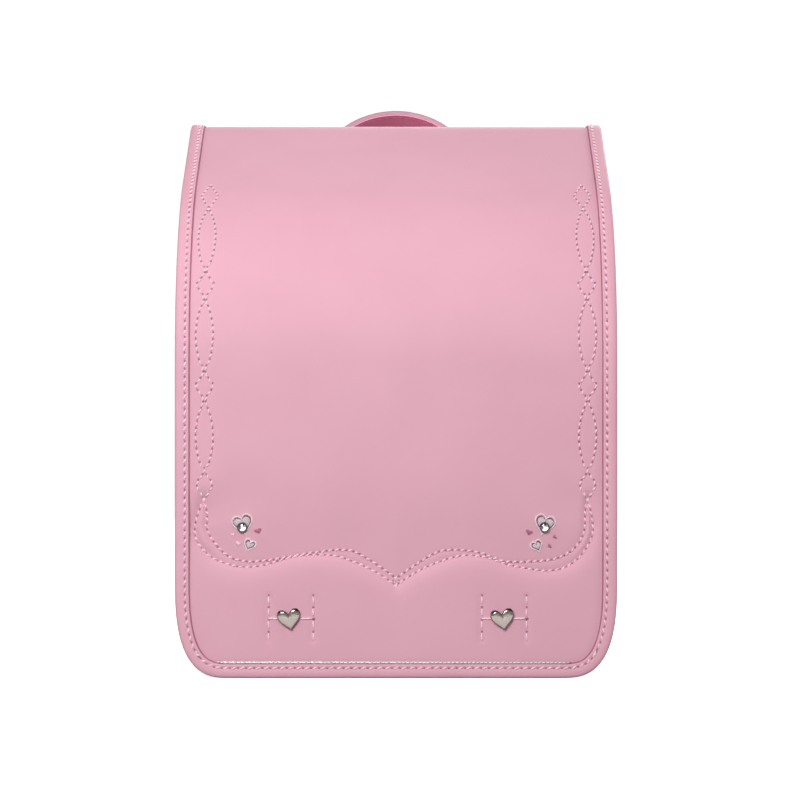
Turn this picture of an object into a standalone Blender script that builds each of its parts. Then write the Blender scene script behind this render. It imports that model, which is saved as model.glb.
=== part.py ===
"""School ransel with a full-length flap, standing closed on its base.

Metres, +Z up. -Y is the front that the flap covers, +Y the wearer's side.
The flap is a flat pattern, measured across (x) and along its length (s) from
the front hem, and is wrapped onto a side profile made of lines and arcs.
"""

import math

import bmesh
import bpy
from mathutils import Vector

MM = 0.001

# Fits
GAP = 0.3 * MM  # clearance between pieces that touch
ARC_STEP = math.radians(10)  # facet angle of round stretches

# Flap
FLAP_WIDTH = 270 * MM  # over the binding
FLAP_HEIGHT = 350 * MM  # floor to the top of the crown
FLAP_WALL = 3 * MM
FLAP_HEM_CLEARANCE = 0.2 * MM  # floor to the bound hem
FLAP_CORNER_WIDTH = 33.5 * MM  # the lower corners bend in over this width, over the binding
FLAP_CORNER_HEIGHT = 61 * MM
FLAP_CORNER_POWER = 2.8  # of their oval, 2 would be an ellipse
FLAP_CORNER_STEPS = 10
FLAP_SLOPE = math.radians(29)  # of the top, rising towards the back
SHOULDER_RADIUS = 130 * MM  # between the front and the sloping top
CROWN_RADIUS = 31.5 * MM  # between the sloping top and the back
FLAP_TAIL_DROP = 54 * MM  # crown top to the sewn end on the back
FLAP_TAIL_WIDTH = 238 * MM
BINDING_WALL = 1 * MM
BINDING_LAP = 7.2 * MM  # over the flap's face
BINDING_INNER_LAP = 5 * MM
PIPING_WIDTH = 1.4 * MM
PIPING_HEIGHT = 0.9 * MM
PIPING_LENGTH = 204 * MM

# Hard box of the main compartment
BOX_WIDTH = 240 * MM  # over the gusset's side walls
BOX_DEPTH = 118 * MM
BOX_CORNER_RADIUS = 29 * MM
GUSSET_WALL = 2.5 * MM
HEM = 9 * MM  # flange that stands out round the gusset
BACK_BOARD_WALL = 3 * MM
BACK_BOARD_TOP = 318 * MM
BACK_BOARD_TOP_RADIUS = 10 * MM
GUSSET_REAR_TOP = 313 * MM
FRONT_BOARD_WALL = 2.5 * MM
FRONT_BOARD_TOP = 288 * MM
HEM_BINDING_LAP = 7.5 * MM

# Second compartment and slip pocket
SMALL_WIDTH = 224 * MM
SMALL_DEPTH = 26 * MM
SMALL_WALL = 2 * MM
SMALL_REAR_TOP = 246 * MM
SMALL_FRONT_TOP = 236 * MM
SMALL_BOTTOM = 12 * MM
SMALL_CORNER_RADIUS = 24 * MM
SMALL_BOARD_EDGE = 1.5 * MM  # board beyond the gusset
POCKET_WIDTH = 208 * MM
POCKET_DEPTH = 18 * MM
POCKET_WALL = 1.8 * MM
POCKET_TOP = 150 * MM
POCKET_BOTTOM = 15 * MM
POCKET_CORNER_RADIUS = 20 * MM

# Heart rivets, tongue and lock
HEART_WIDTH = 14.4 * MM
HEART_HEIGHT = 12.6 * MM
HEART_RISE = 3.2 * MM
HEART_TILT = math.radians(8)
HEART_SWELL = 16  # the heart curve's own numbers, which its width and height then scale
HEART_WAVES = (13, -5, -2, -1)
HEART_SPACING = 130 * MM
HEART_Z = 36 * MM
SHANK_RADIUS = 1.5 * MM
WASHER_RADIUS = 3.5 * MM
WASHER_WALL = 0.8 * MM
TONGUE_WALL = 2 * MM
TONGUE_TOP = 54 * MM
TONGUE_WIDTH = 160 * MM
TONGUE_END_WIDTH = 54 * MM
TONGUE_BEND_RADIUS = 5 * MM
TONGUE_REACH = 38 * MM  # under the base
LOCK_SIZE = 22 * MM
LOCK_BASE_WALL = 2.2 * MM
LOCK_PLATE_WALL = 1 * MM
LOCK_PLATE_WIDTH = 32 * MM
LOCK_PLATE_LENGTH = 20 * MM
KNOB_WIDTH = 12 * MM
KNOB_LENGTH = 5 * MM
KNOB_CAP_WALL = 1.2 * MM

# Crystals on the flap
CRYSTAL_RADIUS = 2.4 * MM
CRYSTAL_HEIGHT = 1.5 * MM
CRYSTAL_SIDES = 12
SETTING_WALL = 0.4 * MM
SETTING_HEIGHT = 0.9 * MM
CRYSTAL_LEFT_EDGE = 41.3 * MM  # from the flap's left side
CRYSTAL_RIGHT_EDGE = 44.6 * MM
CRYSTAL_Z = 92.3 * MM

# Handle
HANDLE_SPAN = 104 * MM  # between the strip's middles at the feet
HANDLE_RISE = 62 * MM  # along the leaning arch
HANDLE_LEG = 12 * MM  # straight stretch at each foot
HANDLE_WIDTH = 22 * MM
HANDLE_WALL = 3.2 * MM
HANDLE_LINING_WALL = 1 * MM
HANDLE_LEAN = math.radians(27)  # towards the wearer
HANDLE_FOOT_DROP = 44 * MM  # crown top to the pin
HANDLE_FOOT_STANDOFF = 15 * MM  # flap tail to the pin
HANDLE_STATIONS = 25
PIN_RADIUS = 2 * MM
PIN_HEAD_RADIUS = 4 * MM
PIN_HEAD_WALL = 1.2 * MM
BRACKET_WALL = 1.5 * MM
BRACKET_HEIGHT = 20 * MM
BRACKET_FOOT = 14 * MM

# Shoulder straps
STRAP_WIDTH = 48 * MM
STRAP_PAD = 9 * MM
STRAP_TAB_WIDTH = 18 * MM
STRAP_TAB_WALL = 2 * MM
STRAP_REACH = 88 * MM  # straps' middle line behind the back board
STRAP_TOP_X = 29 * MM
STRAP_FOOT_X = 98 * MM
STRAP_COVER_TOP = 264 * MM
STRAP_COVER_HEIGHT = 32 * MM
STRAP_COVER_WIDTH = 116 * MM
STRAP_COVER_WALL = 2 * MM
STRAP_CROWN_Z = 286 * MM
BUCKLE_BAR = 2 * MM
BUCKLE_SIDE = 3 * MM
BUCKLE_UPPER_PITCH = 10.5 * MM
BUCKLE_LOWER_PITCH = 9 * MM
BUCKLE_X = 81 * MM
BUCKLE_Z = 104 * MM  # of its upper bar
BUCKLE_REACH = 78 * MM
BUCKLE_TILT = math.radians(36)  # its foot swings in towards the bag
BUCKLE_SPLAY = math.radians(11)  # and out towards the side
LOWER_STRAP_TAIL = 62 * MM
ANCHOR_SIZE = 25 * MM
ANCHOR_BOTTOM = 13 * MM
ANCHOR_WALL = 2 * MM

# Back pads
PAD_HEIGHT = 12 * MM
PAD_EDGE = 6 * MM
PAD_CHANNEL = 9 * MM
PAD_COVER_GAP = 8 * MM  # pads to the strap cover
PAD_SPLIT_Z = 78 * MM
PAD_BOTTOM = 32 * MM
PAD_WIDTH = 222 * MM
LUMBAR_WIDTH = 160 * MM
PAD_CORNER_RADIUS = 16 * MM
PAD_SHOULDER = 13 * MM  # how far in the dome still rises

# Where each layer starts, from the flap's tail at y = 0 towards the front
BACK_BOARD_Y = -FLAP_WALL - GAP
GUSSET_Y = BACK_BOARD_Y - BACK_BOARD_WALL - GAP
GUSSET_FRONT_Y = GUSSET_Y - BOX_DEPTH
FRONT_BOARD_Y = GUSSET_FRONT_Y - GAP
SMALL_Y = FRONT_BOARD_Y - FRONT_BOARD_WALL - GAP
SMALL_FRONT_Y = SMALL_Y - SMALL_DEPTH
SMALL_BOARD_Y = SMALL_FRONT_Y - GAP
POCKET_Y = SMALL_BOARD_Y - SMALL_WALL - GAP
POCKET_FRONT_Y = POCKET_Y - POCKET_DEPTH
POCKET_PANEL_Y = POCKET_FRONT_Y - GAP
TONGUE_Y = POCKET_PANEL_Y - POCKET_WALL - WASHER_WALL - 2 * GAP
FLAP_INNER_Y = TONGUE_Y - TONGUE_WALL - BINDING_WALL - 2 * GAP
FLAP_FRONT_Y = FLAP_INNER_Y - FLAP_WALL

BINDING_OUT = GAP + BINDING_WALL  # binding beyond the sheet that it wraps
BOARD_BOTTOM = BINDING_OUT
BOARD_HALF_WIDTH = BOX_WIDTH / 2 + HEM
BOARD_CORNER_RADIUS = BOX_CORNER_RADIUS + HEM
BOX_BOTTOM = BOARD_BOTTOM + HEM
SHEET_HALF_WIDTH = FLAP_WIDTH / 2 - BINDING_OUT
SHEET_BOTTOM = FLAP_HEM_CLEARANCE + BINDING_OUT
SHEET_CORNER_WIDTH = FLAP_CORNER_WIDTH - BINDING_OUT
SHEET_CORNER_HEIGHT = FLAP_CORNER_HEIGHT - BINDING_OUT

PINK = (0.84, 0.45, 0.54, 1.0)
DEEP_ROSE = (0.42, 0.12, 0.20, 1.0)
PALE_PINK = (0.88, 0.62, 0.67, 1.0)
NICKEL = (0.72, 0.69, 0.66, 1.0)
SILVER_GREY = (0.62, 0.60, 0.60, 1.0)
CLEAR = (0.9, 0.92, 0.95, 1.0)


def material(name, colour, roughness, metallic=0.0):
    found = bpy.data.materials.get(name)
    if found:
        return found
    made = bpy.data.materials.new(name)
    made.use_nodes = True
    shader = made.node_tree.nodes["Principled BSDF"]
    shader.inputs["Base Color"].default_value = colour
    shader.inputs["Roughness"].default_value = roughness
    shader.inputs["Metallic"].default_value = metallic
    made.diffuse_color = colour
    return made


def leather():
    return material("pink_leather", PINK, 0.42)


def lining():
    return material("rose_lining", DEEP_ROSE, 0.6)


def soft_leather():
    return material("soft_leather", PALE_PINK, 0.55)


def nickel():
    return material("nickel", NICKEL, 0.22, 1.0)


class Assembly:
    """Holds every object under one empty, which is moved once at the end."""

    def __init__(self):
        self.frame = bpy.data.objects.new("ransel_frame", None)
        bpy.context.scene.collection.objects.link(self.frame)
        self.pieces = []

    def add(self, name, bm, finish, is_cutter=False):
        bmesh.ops.recalc_face_normals(bm, faces=bm.faces)
        mesh = bpy.data.meshes.new(name)
        bm.to_mesh(mesh)
        bm.free()
        mesh.shade_smooth()
        mesh.set_sharp_from_angle(angle=math.radians(35))
        obj = bpy.data.objects.new(name, mesh)
        bpy.context.scene.collection.objects.link(obj)
        obj.parent = self.frame
        if is_cutter:
            obj.hide_render = True
            obj.display_type = "WIRE"
        else:
            mesh.materials.append(finish)
            self.pieces.append(obj)
        return obj

    def cut(self, obj, cutter):
        modifier = obj.modifiers.new(f"cut_{cutter.name}", "BOOLEAN")
        modifier.operation = "DIFFERENCE"
        modifier.object = cutter

    def stand_on_base_centre(self):
        """Puts the middle of the whole object's depth over the origin."""
        depths = [corner[1] for obj in self.pieces for corner in obj.bound_box]
        self.frame.location.y = -(min(depths) + max(depths)) / 2


def loft(rings):
    """A closed solid through rings that all hold the same number of points."""
    bm = bmesh.new()
    loops = [[bm.verts.new(point) for point in ring] for ring in rings]
    for near, far in zip(loops, loops[1:]):
        count = len(near)
        for i in range(count):
            j = (i + 1) % count
            bm.faces.new((near[i], near[j], far[j], far[i]))
    bm.faces.new(loops[0])
    bm.faces.new(loops[-1])
    return bm


def plate(outline, y_front, y_back):
    """A flat panel: an outline in the x-z plane, extruded from front to back."""
    bm = bmesh.new()
    face = bm.faces.new([bm.verts.new((x, y_front, z)) for x, z in outline])
    extruded = bmesh.ops.extrude_face_region(bm, geom=[face])
    moved = [item for item in extruded["geom"] if isinstance(item, bmesh.types.BMVert)]
    bmesh.ops.translate(bm, verts=moved, vec=(0, y_back - y_front, 0))
    return bm


def slab(x_range, y_range, z_range):
    """A rectangular block between named faces."""
    bm = bmesh.new()
    bmesh.ops.create_cube(bm, size=1)
    size = Vector([high - low for low, high in (x_range, y_range, z_range)])
    middle = Vector([(high + low) / 2 for low, high in (x_range, y_range, z_range)])
    bmesh.ops.scale(bm, verts=bm.verts, vec=size)
    bmesh.ops.translate(bm, verts=bm.verts, vec=middle)
    return bm


def bevel_edges(bm, width, segments=2):
    bmesh.ops.bevel(
        bm, geom=bm.edges[:], offset=width, segments=segments, profile=0.5, affect="EDGES"
    )
    return bm


def arc_points(centre, radius, start, end):
    """Points of an arc in a plane, from one angle to the other, ends included."""
    steps = max(2, math.ceil(abs(end - start) / ARC_STEP))
    return [
        (
            centre[0] + radius * math.cos(start + (end - start) * i / steps),
            centre[1] + radius * math.sin(start + (end - start) * i / steps),
        )
        for i in range(steps + 1)
    ]


def rounded_outline(left, right, bottom, top, bottom_radius, top_radius):
    """A panel's closed outline with its own radius at the bottom and at the top corners."""
    quarter = math.pi / 2
    return (
        arc_points((left + bottom_radius, bottom + bottom_radius), bottom_radius, 2 * quarter, 3 * quarter)
        + arc_points((right - bottom_radius, bottom + bottom_radius), bottom_radius, -quarter, 0)
        + arc_points((right - top_radius, top - top_radius), top_radius, 0, quarter)
        + arc_points((left + top_radius, top - top_radius), top_radius, quarter, 2 * quarter)
    )


def u_stations(half_width, bottom, radius, top):
    """A U-shaped run, down the left side and up the right: (x, z) with the outward direction."""
    quarter = math.pi / 2
    left = arc_points((radius - half_width, bottom + radius), radius, 2 * quarter, 3 * quarter)
    right = arc_points((half_width - radius, bottom + radius), radius, -quarter, 0)
    stations = [((-half_width, top), (-1, 0))]
    for corner, centre_x in ((left, radius - half_width), (right, half_width - radius)):
        for x, z in corner:
            outward = ((x - centre_x) / radius, (z - bottom - radius) / radius)
            stations.append(((x, z), outward))
    stations.append(((half_width, top), (1, 0)))
    return stations


def u_sweep(stations, section, top_of=None):
    """Sweeps a section, given as (outward, y), along a U. top_of(y) cuts both ends on a slope."""
    rings = []
    for number, ((x, z), (out_x, out_z)) in enumerate(stations):
        ring = [(x + out_x * out, y, z + out_z * out) for out, y in section]
        if top_of and number in (0, len(stations) - 1):
            ring = [(px, y, top_of(y)) for px, y, _ in ring]
        rings.append(ring)
    return loft(rings)


def wrap_section(cavity_front, cavity_back, wall, lap_out):
    """Section, as (outward, y), of a strip folded over the edge of a stack of sheets."""
    return [
        (-lap_out, cavity_back),
        (-lap_out, cavity_back + wall),
        (GAP + wall / 2, cavity_back + wall),
        (GAP + wall, cavity_back + wall / 2),
        (GAP + wall, cavity_front - wall / 2),
        (GAP + wall / 2, cavity_front - wall),
        (-lap_out, cavity_front - wall),
        (-lap_out, cavity_front),
        (GAP, cavity_front),
        (GAP, cavity_back),
    ]


class FlapProfile:
    """The flap's outer line from the side: front, shoulder arc, sloping top, crown arc, tail."""

    def __init__(self):
        normal = (-math.sin(FLAP_SLOPE), math.cos(FLAP_SLOPE))
        self.crown = (-CROWN_RADIUS, FLAP_HEIGHT - CROWN_RADIUS)
        reach = normal[0] * self.crown[0] + normal[1] * self.crown[1] + CROWN_RADIUS
        shoulder_y = FLAP_FRONT_Y + SHOULDER_RADIUS
        shoulder_z = (reach - SHOULDER_RADIUS - normal[0] * shoulder_y) / normal[1]
        self.shoulder = (shoulder_y, shoulder_z)
        turn = math.pi / 2 - FLAP_SLOPE
        top = math.dist(
            [c + SHOULDER_RADIUS * n for c, n in zip(self.shoulder, normal)],
            [c + CROWN_RADIUS * n for c, n in zip(self.crown, normal)],
        )
        self.lengths = {
            "front": shoulder_z - SHEET_BOTTOM,
            "shoulder": SHOULDER_RADIUS * turn,
            "top": top,
            "crown": CROWN_RADIUS * (math.pi - turn),
            "tail": self.crown[1] - (FLAP_HEIGHT - FLAP_TAIL_DROP),
        }
        self.turn = turn

    def start_of(self, part):
        total = 0.0
        for name, length in self.lengths.items():
            if name == part:
                return total
            total += length
        return total

    def crown_top(self):
        """Distance along the flap to its highest line."""
        return self.start_of("crown") + CROWN_RADIUS * (math.pi / 2 - self.turn)

    def at(self, s):
        """((y, z), outward (y, z)) at a distance s from the hem."""
        if s <= self.lengths["front"]:
            return (FLAP_FRONT_Y, SHEET_BOTTOM + s), (-1.0, 0.0)
        s -= self.lengths["front"]
        if s <= self.lengths["shoulder"]:
            angle = math.pi - s / SHOULDER_RADIUS
            out = (math.cos(angle), math.sin(angle))
            return tuple(c + SHOULDER_RADIUS * o for c, o in zip(self.shoulder, out)), out
        s -= self.lengths["shoulder"]
        normal = (-math.sin(FLAP_SLOPE), math.cos(FLAP_SLOPE))
        if s <= self.lengths["top"]:
            start = [c + SHOULDER_RADIUS * n for c, n in zip(self.shoulder, normal)]
            along = (math.cos(FLAP_SLOPE), math.sin(FLAP_SLOPE))
            return tuple(p + s * a for p, a in zip(start, along)), normal
        s -= self.lengths["top"]
        if s <= self.lengths["crown"]:
            angle = math.pi - self.turn - s / CROWN_RADIUS
            out = (math.cos(angle), math.sin(angle))
            return tuple(c + CROWN_RADIUS * o for c, o in zip(self.crown, out)), out
        s -= self.lengths["crown"]
        return (0.0, self.crown[1] - s), (1.0, 0.0)

    def point(self, x, s, out=0.0):
        """A point of the flat pattern, wrapped onto the profile and raised by out."""
        (y, z), (out_y, out_z) = self.at(s)
        return (x, y + out * out_y, z + out * out_z)

    def half_width(self, s):
        """Half of the sheet's width: round at the hem, straight, and drawn in over the crown."""
        if s < SHEET_CORNER_HEIGHT:
            up = 1 - s / SHEET_CORNER_HEIGHT
            share = (1 - up**FLAP_CORNER_POWER) ** (1 / FLAP_CORNER_POWER)
            return SHEET_HALF_WIDTH - SHEET_CORNER_WIDTH * (1 - share)
        start, end = self.crown_top(), self.binding_end()
        share = min(1.0, max(0.0, (s - start) / (end - start)))
        ease = share * share * (3 - 2 * share)
        return SHEET_HALF_WIDTH + (FLAP_TAIL_WIDTH / 2 - SHEET_HALF_WIDTH) * ease

    def binding_end(self):
        """The binding stops just above the back board."""
        rise = BACK_BOARD_TOP + 4 * BINDING_OUT - self.crown[1]
        return self.start_of("tail") - CROWN_RADIUS * math.asin(rise / CROWN_RADIUS)

    def straight_stations(self):
        """Distances along the flap above its round corners, closer where it bends."""
        stops = [SHEET_CORNER_HEIGHT, self.lengths["front"]]
        for part, radius in (("shoulder", SHOULDER_RADIUS), ("crown", CROWN_RADIUS)):
            steps = math.ceil(self.lengths[part] / radius / ARC_STEP)
            begin = self.start_of(part)
            stops += [begin + self.lengths[part] * i / steps for i in range(steps + 1)]
        stops.append(self.start_of("tail") + self.lengths["tail"])
        return sorted(set(round(stop, 7) for stop in stops))


def corner_point(step):
    """One place on the sheet's lower left corner, from its side round to the hem."""
    angle = math.pi / 2 * step / FLAP_CORNER_STEPS
    out = max(0.0, math.cos(angle)) ** (2 / FLAP_CORNER_POWER)
    down = math.sin(angle) ** (2 / FLAP_CORNER_POWER)
    x = -SHEET_HALF_WIDTH + SHEET_CORNER_WIDTH * (1 - out)
    s = SHEET_CORNER_HEIGHT * (1 - down)
    inward = Vector(
        (
            out ** (FLAP_CORNER_POWER - 1) / SHEET_CORNER_WIDTH,
            down ** (FLAP_CORNER_POWER - 1) / SHEET_CORNER_HEIGHT,
        )
    ).normalized()
    return (x, s), tuple(inward)


def build_flap(assembly, profile):
    columns = 4
    corner = [corner_point(i)[0][1] for i in range(FLAP_CORNER_STEPS, 0, -1)]
    rings = []
    for s in corner + profile.straight_stations():
        half = profile.half_width(s)
        across = [half * (2 * i / columns - 1) for i in range(columns + 1)]
        face = [profile.point(x, s) for x in across]
        lining_side = [profile.point(x, s, -FLAP_WALL) for x in reversed(across)]
        rings.append(face + lining_side)
    return assembly.add("flap", loft(rings), leather())


def flap_edge(profile):
    """The sheet's edge as ((x, s), inward direction), from the tail down the left and round."""
    left = []
    stops = [s for s in profile.straight_stations() if s < profile.binding_end()]
    stops.append(profile.binding_end())
    step = 0.5 * MM
    for s in reversed(stops):
        half = profile.half_width(s)
        change = (profile.half_width(s) - profile.half_width(s - step)) / step
        size = math.hypot(1, change)
        left.append(((-half, s), (1 / size, change / size)))
    left += [corner_point(i) for i in range(1, FLAP_CORNER_STEPS + 1)]
    right = [((-x, s), (-in_x, in_s)) for (x, s), (in_x, in_s) in reversed(left)]
    return left + right


def build_flap_binding(assembly, profile):
    wall = BINDING_WALL
    section = [
        (BINDING_LAP, GAP),
        (BINDING_LAP, GAP + wall * 0.6),
        (BINDING_LAP - wall, GAP + wall),
        (-GAP - wall / 2, GAP + wall),
        (-GAP - wall, GAP + wall / 2),
        (-GAP - wall, -FLAP_WALL - GAP - wall / 2),
        (-GAP - wall / 2, -FLAP_WALL - GAP - wall),
        (BINDING_INNER_LAP, -FLAP_WALL - GAP - wall),
        (BINDING_INNER_LAP, -FLAP_WALL - GAP),
        (-GAP, -FLAP_WALL - GAP),
        (-GAP, GAP),
    ]
    rings = [
        [profile.point(x + depth * in_x, s + depth * in_s, out) for depth, out in section]
        for (x, s), (in_x, in_s) in flap_edge(profile)
    ]
    return assembly.add("flap_binding", loft(rings), leather())


def build_reflective_piping(assembly, profile):
    """A silver cord laid on the flap just above the lower binding."""
    middle_s = BINDING_LAP + GAP + PIPING_WIDTH / 2
    half = PIPING_WIDTH / 2
    section = [
        (-half, GAP),
        (-half * 0.8, GAP + PIPING_HEIGHT * 0.7),
        (0, GAP + PIPING_HEIGHT),
        (half * 0.8, GAP + PIPING_HEIGHT * 0.7),
        (half, GAP),
    ]
    rings = [
        [profile.point(x, middle_s + along, out) for along, out in section]
        for x in (-PIPING_LENGTH / 2, PIPING_LENGTH / 2)
    ]
    finish = material("reflective_silver", SILVER_GREY, 0.35, 0.5)
    return assembly.add("reflective_piping", loft(rings), finish)


def build_main_box(assembly):
    outline = rounded_outline(
        -BOARD_HALF_WIDTH, BOARD_HALF_WIDTH, BOARD_BOTTOM, BACK_BOARD_TOP,
        BOARD_CORNER_RADIUS, BACK_BOARD_TOP_RADIUS,
    )
    back = assembly.add(
        "back_board", plate(outline, BACK_BOARD_Y - BACK_BOARD_WALL, BACK_BOARD_Y), leather()
    )
    outline = rounded_outline(
        -BOARD_HALF_WIDTH, BOARD_HALF_WIDTH, BOARD_BOTTOM, FRONT_BOARD_TOP,
        BOARD_CORNER_RADIUS, BACK_BOARD_TOP_RADIUS,
    )
    assembly.add(
        "front_board", plate(outline, FRONT_BOARD_Y - FRONT_BOARD_WALL, FRONT_BOARD_Y), leather()
    )
    section = [
        (-GUSSET_WALL, GUSSET_Y),
        (HEM, GUSSET_Y),
        (HEM, GUSSET_Y - GUSSET_WALL),
        (0, GUSSET_Y - GUSSET_WALL),
        (0, GUSSET_FRONT_Y + GUSSET_WALL),
        (HEM, GUSSET_FRONT_Y + GUSSET_WALL),
        (HEM, GUSSET_FRONT_Y),
        (-GUSSET_WALL, GUSSET_FRONT_Y),
    ]

    def gusset_top(y):
        share = (GUSSET_Y - y) / BOX_DEPTH
        return GUSSET_REAR_TOP + (FRONT_BOARD_TOP - GUSSET_REAR_TOP) * share

    stations = u_stations(BOX_WIDTH / 2, BOX_BOTTOM, BOX_CORNER_RADIUS, FRONT_BOARD_TOP)
    assembly.add("main_gusset", u_sweep(stations, section, gusset_top), leather())
    build_hem_binding(
        assembly, "back_binding", GUSSET_Y - GUSSET_WALL - GAP, BACK_BOARD_Y + GAP,
        GUSSET_REAR_TOP - HEM,
    )
    build_hem_binding(
        assembly, "front_binding", FRONT_BOARD_Y - FRONT_BOARD_WALL - GAP,
        GUSSET_FRONT_Y + GUSSET_WALL + GAP, FRONT_BOARD_TOP - BACK_BOARD_TOP_RADIUS,
    )
    return back


def build_hem_binding(assembly, name, cavity_front, cavity_back, top):
    """The strip folded over a hem. Its two ends are cut square at the named height."""
    section = wrap_section(cavity_front, cavity_back, BINDING_WALL, HEM_BINDING_LAP)
    stations = u_stations(BOARD_HALF_WIDTH, BOARD_BOTTOM, BOARD_CORNER_RADIUS, top)
    return assembly.add(name, u_sweep(stations, section), leather())


def build_front_compartments(assembly):
    def band(name, width, bottom, radius, wall, y_back, y_front, top_back, top_front):
        def top_of(y):
            return top_back + (top_front - top_back) * (y_back - y) / (y_back - y_front)

        section = [(0, y_back), (0, y_front), (-wall, y_front), (-wall, y_back)]
        stations = u_stations(width / 2, bottom, radius, top_front)
        assembly.add(name, u_sweep(stations, section, top_of), leather())

    def panel(name, width, bottom, top, radius, wall, y_back):
        outline = rounded_outline(-width / 2, width / 2, bottom, top, radius, 4 * wall)
        assembly.add(name, plate(outline, y_back - wall, y_back), leather())

    band(
        "small_gusset", SMALL_WIDTH, SMALL_BOTTOM, SMALL_CORNER_RADIUS, SMALL_WALL,
        SMALL_Y, SMALL_FRONT_Y, SMALL_REAR_TOP, SMALL_FRONT_TOP,
    )
    edge = SMALL_BOARD_EDGE
    panel(
        "small_board", SMALL_WIDTH + 2 * edge, SMALL_BOTTOM - edge, SMALL_FRONT_TOP,
        SMALL_CORNER_RADIUS + edge, SMALL_WALL, SMALL_BOARD_Y,
    )
    band(
        "pocket_gusset", POCKET_WIDTH, POCKET_BOTTOM, POCKET_CORNER_RADIUS, POCKET_WALL,
        POCKET_Y, POCKET_FRONT_Y, POCKET_TOP, POCKET_TOP,
    )
    panel(
        "pocket_front", POCKET_WIDTH, POCKET_BOTTOM, POCKET_TOP,
        POCKET_CORNER_RADIUS, POCKET_WALL, POCKET_PANEL_Y,
    )


def circle(radius, sides=10):
    return [
        (radius * math.cos(2 * math.pi * i / sides), radius * math.sin(2 * math.pi * i / sides))
        for i in range(sides)
    ]


def drill(assembly, name, centre, y_range, radius, targets):
    """A round hole along y through each target."""
    rings = [[(centre[0] + x, y, centre[1] + z) for x, z in circle(radius)] for y in y_range]
    cutter = assembly.add(name, loft(rings), None, is_cutter=True)
    for target in targets:
        assembly.cut(target, cutter)


def heart_outline(count=24):
    """The usual heart curve, scaled and tilted, with its middle at the origin."""
    points = []
    for i in range(count):
        t = 2 * math.pi * (i + 0.5) / count
        x = HEART_SWELL * math.sin(t) ** 3
        z = sum(wave * math.cos((n + 1) * t) for n, wave in enumerate(HEART_WAVES))
        points.append((x, z))
    high = max(z for _, z in points)
    low = min(z for _, z in points)
    wide = max(x for x, _ in points)
    sized = [
        (x / wide * HEART_WIDTH / 2, ((z - low) / (high - low) - 0.5) * HEART_HEIGHT)
        for x, z in points
    ]
    cos, sin = math.cos(HEART_TILT), math.sin(HEART_TILT)
    return [(x * cos - z * sin, x * sin + z * cos) for x, z in sized]


def build_heart_rivets(assembly, flap, tongue):
    """Bevelled heart heads on the flap, each with its shank and washer through flap and tongue."""
    outline = heart_outline()
    count = len(outline)
    # Columns: height above the flap as a share of the rise, outline's share of full size.
    head = ((0.0, 0.96), (0.12, 1.0), (0.4, 0.98), (1.0, 0.72))
    angles = [math.atan2(z, x) for x, z in outline]

    def ring(radius, y, centre_x):
        return [
            (centre_x + radius * math.cos(a), y, HEART_Z + radius * math.sin(a)) for a in angles
        ]

    seat = FLAP_FRONT_Y - GAP
    washer_front = TONGUE_Y + GAP
    for side, word in ((-1, "left"), (1, "right")):
        x = side * HEART_SPACING / 2
        rings = [
            ring(WASHER_RADIUS, washer_front + WASHER_WALL, x),
            ring(WASHER_RADIUS, washer_front, x),
            ring(SHANK_RADIUS, washer_front, x),
            ring(SHANK_RADIUS, seat, x),
        ]
        for rise, share in head:
            y = seat - rise * HEART_RISE
            rings.append([(x + px * share, y, HEART_Z + pz * share) for px, pz in outline])
        assert all(len(r) == count for r in rings)
        assembly.add(f"heart_rivet_{word}", loft(rings), nickel())
        drill(
            assembly, f"heart_hole_{word}", (x, HEART_Z),
            (FLAP_FRONT_Y - FLAP_WALL, TONGUE_Y + FLAP_WALL), SHANK_RADIUS + GAP, (flap, tongue),
        )


def build_tongue(assembly):
    """The closing tongue: a wide sheet behind the flap that turns under the base to the lock."""
    middle_y = TONGUE_Y - TONGUE_WALL / 2
    low_z = tongue_middle_z()
    bend = TONGUE_BEND_RADIUS
    down = TONGUE_TOP - low_z - bend
    # Columns: place along the run, half width as a share of the way from wide to end width.
    shape = (("top", 0.0, 0.0), ("down", 0.55, 0.0), ("down", 0.92, 0.72), ("down", 1.0, 0.86))
    path = []
    for part, share, narrowing in shape:
        z = TONGUE_TOP - down * share if part == "down" else TONGUE_TOP
        path.append(((middle_y, z), (-1.0, 0.0), narrowing))
    centre = (middle_y + bend, low_z + bend)
    for y, z in arc_points(centre, bend, math.pi, 1.5 * math.pi)[1:]:
        out = ((y - centre[0]) / bend, (z - centre[1]) / bend)
        path.append(((y, z), out, 1.0))
    path.append(((middle_y + bend + TONGUE_REACH, low_z), (0.0, -1.0), 1.0))
    rings = []
    half_wall = TONGUE_WALL / 2
    for (y, z), (out_y, out_z), narrowing in path:
        half = (TONGUE_WIDTH + (TONGUE_END_WIDTH - TONGUE_WIDTH) * narrowing) / 2
        rings.append(
            [
                (side * half, y + off * out_y, z + off * out_z)
                for side, off in ((-1, half_wall), (1, half_wall), (1, -half_wall), (-1, -half_wall))
            ]
        )
    return assembly.add("tongue", loft(rings), leather())


def lock_middle_y():
    return (SMALL_Y + POCKET_Y) / 2


def tongue_middle_z():
    """The tongue runs just below the lock's base, which sits against the second compartment."""
    return SMALL_BOTTOM - LOCK_BASE_WALL - TONGUE_WALL / 2 - 2 * GAP


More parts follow.
